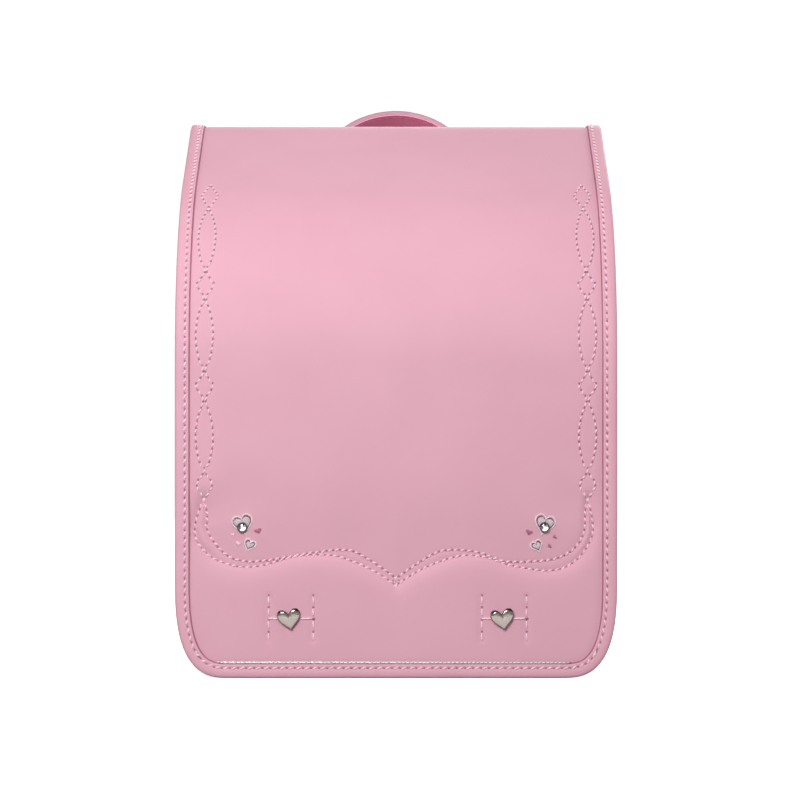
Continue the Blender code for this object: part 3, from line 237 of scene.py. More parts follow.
heartMetal = makeMetal("heartMetal", (0.295, 0.262, 0.24), 0.13, brush=0.10)
heartShade = makeMetal("heartShade", (0.085, 0.070, 0.068), 0.08)
crystalCup = makeMetal("crystalCup", (0.16, 0.12, 0.13), 0.22)
crystalFoil = makeMetal("crystalFoil", (0.86, 0.85, 0.87), 0.04)
# dark metal for some crystal facets: painted shade and dark reflection
crystalShadeFacets = makeMetal("crystalShadeFacets", (0.13, 0.12, 0.14), 0.06)
pinkThread = makeThread("pinkThread", (1.0, 0.69, 0.80), 0.36)
silverThread = makeThread("silverThread", (0.70, 0.56, 0.61), 0.4, 0.15)
paleThread = makeThread("paleThread", (0.98, 0.84, 0.89), 0.4)
whiteThread = makeThread("whiteThread", (0.88, 0.87, 0.86), 0.4)
# near-black thread in the gap round the hearts' satin fill: painted shade of that groove
grooveShadeThread = makeThread("grooveShadeThread", (0.16, 0.07, 0.10), 0.5)
roseThread = makeThread("roseThread", (0.48, 0.15, 0.25), 0.4)
reflectiveCord = makeThread("reflectiveCord", (0.60, 0.58, 0.58), 0.3, 0.5, twist=2.4 * mm)
gripEdge = makeLeather("gripEdge", {
    "light": (0.56, 0.33, 0.42), "dark": (0.52, 0.30, 0.39),
    "rough": 0.5, "cell": 1.2 * mm, "grain": 0.1})
# dark rose for the binding lip's inner wall: a painted shadow line
paintedLipShadow = makeLeather("paintedLipShadow", {
    "light": (0.43, 0.17, 0.24), "dark": (0.37, 0.13, 0.20),
    "rough": 0.7, "cell": 0.9 * mm, "grain": 0.2})
# dark rose for the flat beads in needle holes and punched holes: painted shade of the holes
paintedHoleShade = makeLeather("paintedHoleShade", {
    "light": (0.46, 0.20, 0.28), "dark": (0.38, 0.15, 0.22),
    "rough": 0.8, "cell": 0.9 * mm, "grain": 0.1})
print("materials made")


def addObject(name, data):
    obj = bpy.data.objects.new(name, data)
    bpy.context.scene.collection.objects.link(obj)
    return obj


def finishPiece(name, mesh, materials, replaced=(), angle=40):
    obj = addObject(name, mesh)
    for material in materials:
        mesh.materials.append(material)
    mesh.shade_smooth()
    if angle:
        mesh.set_sharp_from_angle(angle=math.radians(angle))
    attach(obj, "root")
    if replaced:
        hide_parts(*replaced)
    return obj


def meshOf(bm, name):
    mesh = bpy.data.meshes.new(name)
    bm.to_mesh(mesh)
    bm.free()
    return mesh


def meshFrom(bm, name):
    bmesh.ops.remove_doubles(bm, verts=bm.verts, dist=0.00001 * mm)
    bmesh.ops.recalc_face_normals(bm, faces=bm.faces)
    return meshOf(bm, name)


def evaluatedMesh(obj):
    bpy.context.view_layer.update()
    graph = bpy.context.evaluated_depsgraph_get()
    return bpy.data.meshes.new_from_object(obj.evaluated_get(graph))


def coordinatesOf(mesh):
    values = np.empty(len(mesh.vertices) * 3)
    mesh.vertices.foreach_get("co", values)
    return values.reshape(-1, 3)


def circle(x, y, z, radius, sides, turn=0.0):
    angles = [2 * math.pi * (k + turn) / sides for k in range(sides)]
    return [(x + radius * math.cos(a), y, z + radius * math.sin(a)) for a in angles]


def easeIn(share):
    return share * share * (3 - 2 * share)


def loft(rings, caps=True, closed=False):
    bm = bmesh.new()
    loops = [[bm.verts.new(p) for p in ring] for ring in rings]
    pairs = list(zip(loops, loops[1:]))
    if closed:
        pairs.append((loops[-1], loops[0]))
    for near, far in pairs:
        for i in range(len(near)):
            j = (i + 1) % len(near)
            bm.faces.new((near[i], near[j], far[j], far[i]))
    if caps and not closed:
        bm.faces.new(loops[0])
        bm.faces.new(loops[-1])
    return bm


def softenEdges(bm, width, segments=2, angle=30):
    sharp = [e for e in bm.edges
             if len(e.link_faces) == 2 and e.calc_face_angle() > math.radians(angle)]
    bmesh.ops.bevel(bm, geom=sharp, offset=width, segments=segments, profile=0.5,
                    affect="EDGES", clamp_overlap=True)
    return bm


def softenNode(name, material, width=0.35 * mm, segments=2):
    # a CAD piece of the right shape, merged, with its hard edges eased
    bm = bmesh.new()
    bm.from_mesh(nodes[name].data)
    bmesh.ops.remove_doubles(bm, verts=bm.verts, dist=0.001 * mm)
    bmesh.ops.dissolve_limit(bm, angle_limit=math.radians(1), verts=bm.verts, edges=bm.edges)
    softenEdges(bm, width, segments)
    return finishPiece(name + "_smooth", meshFrom(bm, name), [material], [name], 45)


def arcPoints(centre, radius, start, end, step=math.radians(3)):
    count = max(2, math.ceil(abs(end - start) / step))
    return [(centre[0] + radius * math.cos(start + (end - start) * i / count),
             centre[1] + radius * math.sin(start + (end - start) * i / count))
             for i in range(count + 1)]


def roundedOutline(left, right, bottom, top, lowRadius, highRadius):
    q = math.pi / 2
    return (arcPoints((left + lowRadius, bottom + lowRadius), lowRadius, 2 * q, 3 * q)
            + arcPoints((right - lowRadius, bottom + lowRadius), lowRadius, -q, 0)
            + arcPoints((right - highRadius, top - highRadius), highRadius, 0, q)
            + arcPoints((left + highRadius, top - highRadius), highRadius, q, 2 * q))


def makePanel(name, outline, yFront, yBack, material, replaced, edge=0.6 * mm):
    bm = bmesh.new()
    face = bm.faces.new([bm.verts.new((x, yFront, z)) for x, z in outline])
    moved = bmesh.ops.extrude_face_region(bm, geom=[face])["geom"]
    bmesh.ops.translate(bm, verts=[v for v in moved if isinstance(v, bmesh.types.BMVert)],
                        vec=(0, yBack - yFront, 0))
    softenEdges(bm, edge, 3)
    return finishPiece(name, meshFrom(bm, name), [material], replaced)


def uStations(halfWidth, bottom, radius, top, step=6 * mm):
    q = math.pi / 2
    run = max(2, round((top - bottom - radius) / step))
    left = [((-halfWidth, top - (top - bottom - radius) * i / run), (-1, 0)) for i in range(run)]
    corner = []
    for x, z in arcPoints((radius - halfWidth, bottom + radius), radius, 2 * q, 3 * q):
        corner.append(((x, z), ((x - radius + halfWidth) / radius, (z - bottom - radius) / radius)))
    floorRun = max(2, round(2 * (halfWidth - radius) / step))
    floor = [((radius - halfWidth + 2 * (halfWidth - radius) * i / floorRun, bottom), (0, -1))
             for i in range(1, floorRun)]
    half = left + corner
    return half + floor + [((-x, z), (-ox, oz)) for (x, z), (ox, oz) in reversed(half)]


def uSweep(stations, section, topOf=None):
    rings = []
    last = len(stations) - 1
    for number, ((x, z), (ox, oz)) in enumerate(stations):
        ring = [(x + ox * out, y, z + oz * out) for out, y in section]
        if topOf and number in (0, last):
            ring = [(px, y, topOf(y)) for px, y, _ in ring]
        rings.append(ring)
    return loft(rings)


def makeStitchTree():
    tree = bpy.data.node_groups.new("sewnRow", "GeometryNodeTree")
    for label, kind in (("Geometry", "NodeSocketGeometry"), ("Pitch", "NodeSocketFloat"),
                        ("Length", "NodeSocketFloat"), ("Width", "NodeSocketFloat"),
                        ("Height", "NodeSocketFloat"), ("Slant", "NodeSocketFloat"),
                        ("Hole", "NodeSocketFloat"), ("Holes", "NodeSocketBool"),
                        ("Thread", "NodeSocketMaterial"), ("Shadow", "NodeSocketMaterial")):
        tree.interface.new_socket(label, in_out="INPUT", socket_type=kind)
    tree.interface.new_socket("Geometry", in_out="OUTPUT", socket_type="NodeSocketGeometry")
    link = tree.links.new
    source, target = tree.nodes.new("NodeGroupInput"), tree.nodes.new("NodeGroupOutput")

    def scaled(socket, factor):
        node = newNode(tree, "ShaderNodeMath", operation="MULTIPLY")
        link(socket, node.inputs[0])
        node.inputs[1].default_value = factor
        return node.outputs[0]

    def vector(x=None, y=None, z=None):
        node = newNode(tree, "ShaderNodeCombineXYZ")
        for socket, value in zip(node.inputs, (x, y, z)):
            if value is not None:
                link(value, socket)
        return node.outputs[0]

    curve = newNode(tree, "GeometryNodeMeshToCurve")
    link(source.outputs["Geometry"], curve.inputs[0])
    spaced = newNode(tree, "GeometryNodeResampleCurve", mode="LENGTH")
    link(curve.outputs[0], spaced.inputs["Curve"])
    link(source.outputs["Pitch"], spaced.inputs["Length"])
    outward = newNode(tree, "GeometryNodeInputNamedAttribute", data_type="FLOAT_VECTOR")
    outward.inputs["Name"].default_value = "outward"
    upright = newNode(tree, "FunctionNodeAlignRotationToVector", axis="Z")
    link(outward.outputs["Attribute"], upright.inputs["Vector"])
    along = newNode(tree, "FunctionNodeAlignRotationToVector", axis="X", pivot_axis="Z")
    link(upright.outputs["Rotation"], along.inputs["Rotation"])
    tangent = newNode(tree, "GeometryNodeInputTangent")
    link(tangent.outputs[0], along.inputs["Vector"])

    def layer(length, width, height, segments, shift, slant, material):
        bead = newNode(tree, "GeometryNodeMeshUVSphere")
        setInputs(bead, Segments=segments, Rings=max(4, segments - 2), Radius=1.0)
        sized = newNode(tree, "GeometryNodeTransform")
        link(bead.outputs["Mesh"], sized.inputs["Geometry"])
        link(vector(length, width, height), sized.inputs["Scale"])
        placed = newNode(tree, "GeometryNodeInstanceOnPoints")
        link(spaced.outputs[0], placed.inputs["Points"])
        link(sized.outputs[0], placed.inputs["Instance"])
        link(along.outputs["Rotation"], placed.inputs["Rotation"])
        moved = newNode(tree, "GeometryNodeTranslateInstances")
        link(placed.outputs[0], moved.inputs["Instances"])
        link(shift, moved.inputs["Translation"])
        turned = newNode(tree, "GeometryNodeRotateInstances")
        link(moved.outputs[0], turned.inputs["Instances"])
        link(vector(None, None, slant), turned.inputs["Rotation"])
        real = newNode(tree, "GeometryNodeRealizeInstances")
        link(turned.outputs[0], real.inputs[0])
        painted = newNode(tree, "GeometryNodeSetMaterial")
        link(real.outputs[0], painted.inputs["Geometry"])
        link(material, painted.inputs["Material"])
        return painted.outputs[0]

    width, height = source.outputs["Width"], source.outputs["Height"]
    thread = layer(scaled(source.outputs["Length"], 0.5), scaled(width, 0.5), scaled(height, 0.5),
                   8, vector(None, None, scaled(height, 0.12)), source.outputs["Slant"],
                   source.outputs["Thread"])
    # needle holes: flat beads beside each thread, in painted hole shade
    hole = source.outputs["Hole"]
    holes = layer(scaled(hole, 0.5), scaled(hole, 0.42), scaled(hole, 0.16), 8,
                  vector(scaled(source.outputs["Pitch"], 0.5), None, scaled(hole, 0.03)),
                  source.outputs["Slant"], source.outputs["Shadow"])
    wanted = newNode(tree, "GeometryNodeSwitch", input_type="GEOMETRY")
    link(source.outputs["Holes"], wanted.inputs["Switch"])
    link(holes, wanted.inputs["True"])
    both = newNode(tree, "GeometryNodeJoinGeometry")
    link(thread, both.inputs[0])
    link(wanted.outputs[0], both.inputs[0])
    link(both.outputs[0], target.inputs[0])
    return tree


stitchTree = makeStitchTree()


def stitch(pitch, length, width, slant=0.0, hole=None, height=None):
    # one thread and its needle hole, in mm; no hole is made without its size
    return {"Pitch": pitch * mm, "Length": length * mm, "Width": width * mm, "Slant": slant,
            "Height": (height or width) * mm, "Hole": (hole or 0.0) * mm, "Holes": hole is not None}


def sewRows(name, rows, sizes, thread):
    # rows: lists of (place, outward direction)
    verts, edges, outwards = [], [], []
    for row in rows:
        first = len(verts)
        verts += [tuple(p) for p, _ in row]
        outwards += [tuple(o) for _, o in row]
        edges += [(i, i + 1) for i in range(first, len(verts) - 1)]
    path = bpy.data.meshes.new(name + "_path")
    path.from_pydata(verts, edges, [])
    path.attributes.new("outward", "FLOAT_VECTOR", "POINT").data.foreach_set(
        "vector", np.array(outwards, np.float32).ravel())
    carrier = addObject(name + "_path", path)
    modifier = carrier.modifiers.new("sewn", "NODES")
    modifier.node_group = stitchTree
    settings = {**sizes, "Thread": thread, "Shadow": paintedHoleShade}
    for item in stitchTree.interface.items_tree:
        if item.item_type == "SOCKET" and item.in_out == "INPUT" and item.name in settings:
            modifier[item.identifier] = settings[item.name]
    mesh = evaluatedMesh(carrier)
    mesh.name = name
    bpy.data.objects.remove(carrier, do_unlink=True)
    return finishPiece(name, mesh, [], angle=0)


# flap
flapSizes = {
    "width": 270 * mm, "height": 350 * mm, "wall": 3 * mm, "hem": 0.2 * mm, "gap": 0.3 * mm,
    "cornerWidth": 33.5 * mm, "cornerHeight": 61 * mm, "cornerPower": 2.8,
    "slope": math.radians(29), "shoulder": 130 * mm, "crown": 31.5 * mm,
    "tailDrop": 54 * mm, "tailWidth": 238 * mm, "backBoardTop": 318 * mm,
    "bindingWall": 1 * mm, "bindingLap": 7.2 * mm, "bindingInnerLap": 5 * mm,
    "fineStep": 1.15 * mm, "coarseStep": 2.6 * mm, "fineBelow": 128 * mm,
    "sideShare": 0.79, "sideCount": 28, "middleCount": 140,
}
bindingOut = flapSizes["gap"] + flapSizes["bindingWall"]
sheetHalf = flapSizes["width"] / 2 - bindingOut
sheetBottom = flapSizes["hem"] + bindingOut
cornerWidth = flapSizes["cornerWidth"] - bindingOut
cornerHeight = flapSizes["cornerHeight"] - bindingOut
slopeNormal = (-math.sin(flapSizes["slope"]), math.cos(flapSizes["slope"]))
crownCentre = (backY - flapSizes["crown"], flapSizes["height"] - flapSizes["crown"])
shoulderY = frontY + flapSizes["shoulder"]
shoulderReach = (slopeNormal[0] * crownCentre[0] + slopeNormal[1] * crownCentre[1]
                 + flapSizes["crown"] - flapSizes["shoulder"])
shoulderCentre = (shoulderY, (shoulderReach - slopeNormal[0] * shoulderY) / slopeNormal[1])
shoulderTurn = math.pi / 2 - flapSizes["slope"]
slopeLength = math.dist(
    [c + flapSizes["shoulder"] * n for c, n in zip(shoulderCentre, slopeNormal)],
    [c + flapSizes["crown"] * n for c, n in zip(crownCentre, slopeNormal)])
runs = [shoulderCentre[1] - sheetBottom, flapSizes["shoulder"] * shoulderTurn, slopeLength,
        flapSizes["crown"] * (math.pi - shoulderTurn),
        crownCentre[1] - (flapSizes["height"] - flapSizes["tailDrop"])]
starts = [sum(runs[:i]) for i in range(6)]
crownTop = starts[3] + flapSizes["crown"] * (math.pi / 2 - shoulderTurn)
bindingEnd = starts[4] - flapSizes["crown"] * math.asin(
    (flapSizes["backBoardTop"] + 4 * bindingOut - crownCentre[1]) / flapSizes["crown"])


def flapSide(s):
    # side profile at a distance s from the hem: (y, z) and the outward direction
    if s <= starts[1]:
        return (frontY, sheetBottom + s), (-1.0, 0.0)
    if s <= starts[2]:
        a = math.pi - (s - starts[1]) / flapSizes["shoulder"]
        out = (math.cos(a), math.sin(a))
        return tuple(c + flapSizes["shoulder"] * o for c, o in zip(shoulderCentre, out)), out
    if s <= starts[3]:
        along = (math.cos(flapSizes["slope"]), math.sin(flapSizes["slope"]))
        return tuple(c + flapSizes["shoulder"] * n + (s - starts[2]) * a
                     for c, n, a in zip(shoulderCentre, slopeNormal, along)), slopeNormal
    if s <= starts[4]:
        a = math.pi - shoulderTurn - (s - starts[3]) / flapSizes["crown"]
        out = (math.cos(a), math.sin(a))
        return tuple(c + flapSizes["crown"] * o for c, o in zip(crownCentre, out)), out
    return (backY, crownCentre[1] - (s - starts[4])), (1.0, 0.0)


def onFlap(x, s, out=0.0):
    (y, z), (oy, oz) = flapSide(s)
    return (x, y + out * oy, z + out * oz)


def sheetHalfAt(s):
    if s < cornerHeight:
        up, power = 1 - s / cornerHeight, flapSizes["cornerPower"]
        return sheetHalf - cornerWidth * (1 - (1 - up ** power) ** (1 / power))
    share = min(1.0, max(0.0, (s - crownTop) / (bindingEnd - crownTop)))
    return sheetHalf + (flapSizes["tailWidth"] / 2 - sheetHalf) * easeIn(share)


def flapEdge(step=3 * mm):
    # the sheet's edge from the tail down the left, round the hem and up: (x, s), inward
    left = []
    count = round((bindingEnd - cornerHeight) / step)
    for i in range(count + 1):
        s = bindingEnd - (bindingEnd - cornerHeight) * i / count
        change = (sheetHalfAt(s) - sheetHalfAt(s - 0.2 * mm)) / (0.2 * mm) if s > crownTop else 0.0
        size = math.hypot(1, change)
        left.append(((-sheetHalfAt(s), s), (1 / size, change / size)))
    power = flapSizes["cornerPower"]
    for i in range(1, 33):
        a = math.pi / 2 * i / 32
        out, down = max(0.0, math.cos(a)) ** (2 / power), math.sin(a) ** (2 / power)
        inward = Vector((out ** (power - 1) / cornerWidth,
                         down ** (power - 1) / cornerHeight)).normalized()
        left.append(((-sheetHalf + cornerWidth * (1 - out), cornerHeight * (1 - down)),
                     tuple(inward)))
    floorRun = round((sheetHalf - cornerWidth) * 2 / step)
    middle = [((-(sheetHalf - cornerWidth) * (1 - 2 * i / floorRun), 0.0), (0.0, 1.0))
              for i in range(1, floorRun)]
    return left + middle + [((-x, s), (-ix, iz)) for (x, s), (ix, iz) in reversed(left)]


edgeLine = flapEdge()

# sewn scallop: places in mm across and up from the floor, each side as it was sewn
scallop = {
    "outerLeft": [(-117.3, 108.8), (-119.9, 102.9), (-121.6, 97.9), (-122.8, 90.5),
                  (-121.0, 82.7), (-114.9, 75.7), (-110, 72.3), (-101.6, 69.2), (-91.7, 67.7),
                  (-83.5, 68.3), (-73.4, 71.0), (-63.3, 73.9), (-53.3, 75.2), (-43.0, 75.2),
                  (-35, 74.1), (-22.9, 69.8), (-12.7, 64.9), (-4.6, 59.8), (0, 56.4)],
    "innerLeft": [(-117.3, 108.8), (-115.7, 103), (-115.2, 97), (-115.5, 91.8), (-111.8, 84),
                  (-105.7, 77.1), (-99.6, 73.1), (-91.7, 71.3), (-83.5, 71.3), (-73.4, 72.6),
                  (-63.3, 74.4), (-53.3, 76.2), (-43, 77.6), (-37, 78.2), (-26.9, 77.6),
                  (-18.8, 73.7), (-8.7, 67.2), (0, 61.0)],
    "outerRight": [(117.3, 108.8), (118.6, 103), (119.6, 97.5), (120.4, 92), (119.6, 86.4),
                   (117.3, 81.2), (113.2, 75.2), (108, 70.3), (101.8, 67), (96.2, 65.8),
                   (90, 65.4), (83.9, 66.3), (76.1, 67.5), (68, 69.4), (60.4, 72.2),
                   (52.6, 74.2), (43, 74.8), (35, 73.6), (22.9, 69.6), (12.7, 64.8),
                   (4.6, 59.7), (0, 56.4)],
    "innerRight": [(117.3, 108.8), (115.6, 103), (115.5, 98), (115.1, 91.5), (113.4, 85.6),
                   (109.4, 80), (103.8, 75.6), (96.2, 72.7), (88, 71.5), (80, 71), (72.4, 70.9),
                   (66, 71.2), (60.4, 73), (53.2, 75.9), (47, 77.3), (40, 78.1), (34, 78.2),
                   (26.9, 77.4), (18.8, 73.6), (8.7, 67), (0, 61.0)],
    "groove": 2.5 * mm, "lowSlope": 4.1 * mm, "highSlope": 24 * mm, "sideSlope": 4.5 * mm,
    "crease": 0.4 * mm,
}
# side chain of ovals and diamonds: crossings along the flap in mm, oval first
chain = {"edge": 16.9 * mm, "ovalHalf": 5.3 * mm, "diamondHalf": 5.2 * mm, "crease": 0.28 * mm,
         "fullness": 0.72,
         "crossings": [107.3, 124.9, 167.2, 186.0, 230.0, 249.2, 298.5, 327.0]}
# rivet places, and the sewn bars beside them
rivets = {"x": 65 * mm, "z": 36 * mm, "columns": (-12.6 * mm, 14.6 * mm), "pitch": 6.4 * mm,
          "barZ": 36.6 * mm}


def smoothLine(points, spacing):
    # Catmull-Rom through flat points
    points = [Vector(p) for p in points]
    padded = [points[0] * 2 - points[1], *points, points[-1] * 2 - points[-2]]
    line = []
    for a, b, c, d in zip(padded, padded[1:], padded[2:], padded[3:]):
        steps = max(1, round((c - b).length / spacing))
        for i in range(steps):
            t = i / steps
            line.append(0.5 * (2 * b + (c - a) * t + (2 * a - 5 * b + 4 * c - d) * t * t
                               + (3 * b - a - 3 * c + d) * t ** 3))
    line.append(points[-1])
    return line


def scallopLine(kind, side):
    places = scallop[kind + ("Left" if side < 0 else "Right")]
    return [(p.x, p.y) for p in smoothLine([(x * mm, z * mm - sheetBottom) for x, z in places],
                                           2 * mm)]


def chainLines(side):
    # two lines that weave: wide ovals joined by straight diamonds
    centre = side * (sheetHalf - chain["edge"])
    ways = ([], [])
    stops = [c * mm for c in chain["crossings"]]
    for number, (low, high) in enumerate(zip(stops, stops[1:])):
        diamond = number % 2 == 0
        steps = 14 if diamond else 24
        for i in range(steps):
            t = i / steps
            if diamond:
                width = chain["diamondHalf"] * (1 - abs(2 * t - 1))
            else:
                width = chain["ovalHalf"] * math.sin(math.pi * t) ** chain["fullness"]
            for way, sign in zip(ways, (-1, 1)):
                way.append((centre + sign * width, low + (high - low) * t))
    for way in ways:
        way.append((centre, stops[-1]))
    return ways


def distanceTo(line, xs, ss):
    best = np.full(xs.shape, 1.0)
    for (ax, ay), (bx, by) in zip(line, line[1:]):
        dx, dy = bx - ax, by - ay
        size = dx * dx + dy * dy
        if size == 0:
            continue
        t = np.clip(((xs - ax) * dx + (ss - ay) * dy) / size, 0, 1)
        best = np.minimum(best, np.hypot(xs - ax - t * dx, ss - ay - t * dy))
    return best


scallopLines = {(kind, side): scallopLine(kind, side) for kind in ("outer", "inner")
                for side in (-1, 1)}
chainPaths = {side: chainLines(side) for side in (-1, 1)}


# how the face is drawn in: depth and width of each dip, and where it reaches
dips = {
    "scallopTop": 135 * mm, "levelTop": 90 * mm, "asideFrom": 100 * mm, "asideRun": 16 * mm,
    "fadeTop": 133 * mm, "fadeRun": 30 * mm, "fallPower": 1.5, "creaseWidth": 1.1 * mm,
    "rivet": 0.45 * mm, "rivetWidth": 9 * mm, "bar": 0.6 * mm, "barWidth": 2.2 * mm,
    "barHalf": 13 * mm, "chainWidth": 1.3 * mm, "chainHalf": 12 * mm,
    "chainSpan": (98 * mm, 440 * mm),
    "rim": 0.55 * mm, "rimWidth": 2.2 * mm, "rimInset": 7.6 * mm, "rimSide": 30 * mm,
    "rimTop": 80 * mm,
}


def bell(distance, width, power=2):
    return np.exp(-(distance / width) ** power)


def scallopRelief(x, s):
    near = np.minimum.reduce([distanceTo(line, x, s) for line in scallopLines.values()])
    outer = sorted(p for side in (-1, 1)
                   for p in scallopLines["outer", side] if p[1] < dips["levelTop"])
    level = np.interp(x, [p[0] for p in outer], [p[1] for p in outer])
    # a short swell below and outside the line, a long slow fall above it
    aside = np.clip((np.abs(x) - dips["asideFrom"]) / dips["asideRun"], 0, 1)
    high, edge = scallop["highSlope"], scallop["sideSlope"]
    swell = bell(near, scallop["lowSlope"], 1)
    fall = bell(near, high + (edge - high) * easeIn(aside), dips["fallPower"])
    fade = np.clip((dips["fadeTop"] - s) / dips["fadeRun"], 0, 1)
    return (-scallop["groove"] * np.where(s < level, swell, fall) * easeIn(fade)
            - scallop["crease"] * bell(near, dips["creaseWidth"]))


def reliefAt(xs, ss):
    # height of the flap's face over its flat sheet, in metres
    height = np.zeros(xs.shape)
    low = ss < dips["scallopTop"]
    x, s = xs[low], ss[low]
    relief = scallopRelief(x, s)
    for side in (-1, 1):
        away = np.hypot(x - side * rivets["x"], s + sheetBottom - rivets["z"])
        relief -= dips["rivet"] * bell(away, dips["rivetWidth"])
        for column in rivets["columns"]:
            across = np.abs(x - side * rivets["x"] - column)
            up = np.maximum(0, np.abs(s + sheetBottom - rivets["barZ"]) - dips["barHalf"])
            relief -= dips["bar"] * bell(np.hypot(across, up), dips["barWidth"])
    height[low] += relief
    first, last = dips["chainSpan"]
    for side in (-1, 1):
        centre = side * (sheetHalf - chain["edge"])
        band = (np.abs(xs - centre) < dips["chainHalf"]) & (ss > first) & (ss < last)
        for way in chainPaths[side]:
            gap = distanceTo(way, xs[band], ss[band])
            height[band] -= chain["crease"] * bell(gap, dips["chainWidth"])
    rim = (np.abs(xs) > sheetHalf - dips["rimSide"]) | (ss < dips["rimTop"])
    gap = np.maximum(0, distanceTo([p for p, _ in edgeLine], xs[rim], ss[rim]) - dips["rimInset"])
    height[rim] -= dips["rim"] * bell(gap, dips["rimWidth"], 1.5)
    return height


def makeFlap():
    fine, coarse = flapSizes["fineStep"], flapSizes["coarseStep"]
    total = starts[5]
    rows = [0.0, 0.2 * mm, 0.6 * mm] + list(np.arange(fine, flapSizes["fineBelow"], fine))
    rest = math.ceil((total - rows[-1]) / coarse / 4) * 4
    while (len(rows) - 1 + rest) % 4:
        rest += 1
    start = rows[-1]
    rows += [start + (total - start) * (i + 1) / rest for i in range(rest)]
    share, count = flapSizes["sideShare"], flapSizes["sideCount"]
    side = [1 - (1 - share) * i / count for i in range(count)]
    middle = list(np.linspace(-share, share, flapSizes["middleCount"] + 1))
    across = [-v for v in side] + middle + side[::-1]
    halves = np.array([sheetHalfAt(s) for s in rows])
    xs = halves[:, None] * np.array(across)[None, :]
    ss = np.repeat(np.array(rows)[:, None], len(across), axis=1)
    height = reliefAt(xs.ravel(), ss.ravel()).reshape(xs.shape)
    sides = [flapSide(s) for s in rows]
    verts = []
    for i, ((y, z), (oy, oz)) in enumerate(sides):
        for j in range(len(across)):
            h = height[i, j]
            verts.append((xs[i, j], y + h * oy, z + h * oz))
    tall, wide = len(rows), len(across)
    faces = [(i * wide + j, i * wide + j + 1, (i + 1) * wide + j + 1, (i + 1) * wide + j)
             for i in range(tall - 1) for j in range(wide - 1)]
    innerStart, base = len(faces), len(verts)
    innerRows, innerCols = list(range(0, tall, 4)), list(range(0, wide, 4))
    wall = flapSizes["wall"]
    for i in innerRows:
        (y, z), (oy, oz) = sides[i]
        verts += [(xs[i, j], y - wall * oy, z - wall * oz) for j in innerCols]
    innerTall, innerWide = len(innerRows), len(innerCols)

    def inner(a, b):
        return base + a * innerWide + b

    faces += [(inner(a, b), inner(a + 1, b), inner(a + 1, b + 1), inner(a, b + 1))
              for a in range(innerTall - 1) for b in range(innerWide - 1)]
    rimStart, top = len(faces), (tall - 1) * wide
    for b in range(innerWide - 1):
        faces.append([4 * b + k for k in range(4, -1, -1)] + [inner(0, b), inner(0, b + 1)])
        faces.append([top + 4 * b + k for k in range(5)]
                     + [inner(innerTall - 1, b + 1), inner(innerTall - 1, b)])
    for a in range(innerTall - 1):
        faces.append([(4 * a + k) * wide for k in range(5)] + [inner(a + 1, 0), inner(a, 0)])
        faces.append([(4 * a + k) * wide + wide - 1 for k in range(4, -1, -1)]
                     + [inner(a, innerWide - 1), inner(a + 1, innerWide - 1)])
    mesh = bpy.data.meshes.new("flap_leather")
    mesh.from_pydata(verts, [], [list(f) for f in faces])
    bm = bmesh.new()
    bm.from_mesh(mesh)
    bmesh.ops.recalc_face_normals(bm, faces=bm.faces)
    for number, face in enumerate(bm.faces):
        face.material_index = 2 if number >= rimStart else 1 if number >= innerStart else 0
    bm.to_mesh(mesh)
    bm.free()
    return finishPiece("flap_leather", mesh, [flapLeather, liningLeather, edgePaint],
                       ["flap"], 35)


makeFlap()
print("flap made")


def makeFlapBinding():
    wall, gap = flapSizes["bindingWall"], flapSizes["gap"]
    lap, innerLap = flapSizes["bindingLap"], flapSizes["bindingInnerLap"]
    inside = -flapSizes["wall"] - gap
    # the folded strip in (distance in from the sheet's edge, height over the sheet)
    face = [(lap + 0.85 * mm, gap - 0.9 * mm), (lap + 0.85 * mm, 0.12 * mm),
            (lap + 0.3 * mm, 0.15 * mm),
            (lap + 0.1 * mm, gap + wall * 0.75), (lap - 0.45 * mm, gap + wall * 1.02),
            (6.2 * mm, gap + wall * 1.05), (5.6 * mm, gap + wall * 0.92),
            (5.0 * mm, gap + wall * 0.66),
            (4.4 * mm, gap + wall * 0.92), (3.7 * mm, gap + wall * 1.1),
            (2.4 * mm, gap + wall * 1.2),
            (1.0 * mm, gap + wall * 1.12)]
    middleOut = (gap + wall + inside - wall) / 2
    radius = (gap + wall - inside + wall) / 2
    nose = []
    for i in range(1, 12):
        a = math.pi * i / 12
        depth = 0.7 * mm - (0.7 * mm + gap + wall) * math.sin(a) ** 0.75
        share = 1 if abs(math.cos(a)) > 0.99 else 0.99
        nose.append((depth, middleOut + radius * math.cos(a) * share))
    back = [(1.0 * mm, inside - wall * 1.05), (3.0 * mm, inside - wall),
            (innerLap, inside - wall * 0.9),
            (innerLap + 0.2 * mm, inside - wall * 0.3), (innerLap, inside + 0.1 * mm),
            (2.5 * mm, inside + 0.1 * mm)]
    core = [(-gap, inside), (-gap, gap), (3.0 * mm, gap - 0.1 * mm),
            (lap - 1.2 * mm, gap - 0.4 * mm)]
    section = face + nose + back + core
    rings = [[onFlap(x + d * ix, s + d * iz, out) for d, out in section]
             for (x, s), (ix, iz) in edgeLine]
    piece = finishPiece("flap_edge_binding", meshFrom(loft(rings), "flap_edge_binding"),
                        [bindingLeather, paintedLipShadow], ["flap_binding"], 50)
    # the lip's inner wall is painted a darker rose: a painted shadow line beside the lip
    count = len(section)
    for polygon in piece.data.polygons:
        spots = sorted(v % count for v in polygon.vertices)
        if len(spots) == 4 and spots[-1] <= 3:
            polygon.material_index = 1
    return piece


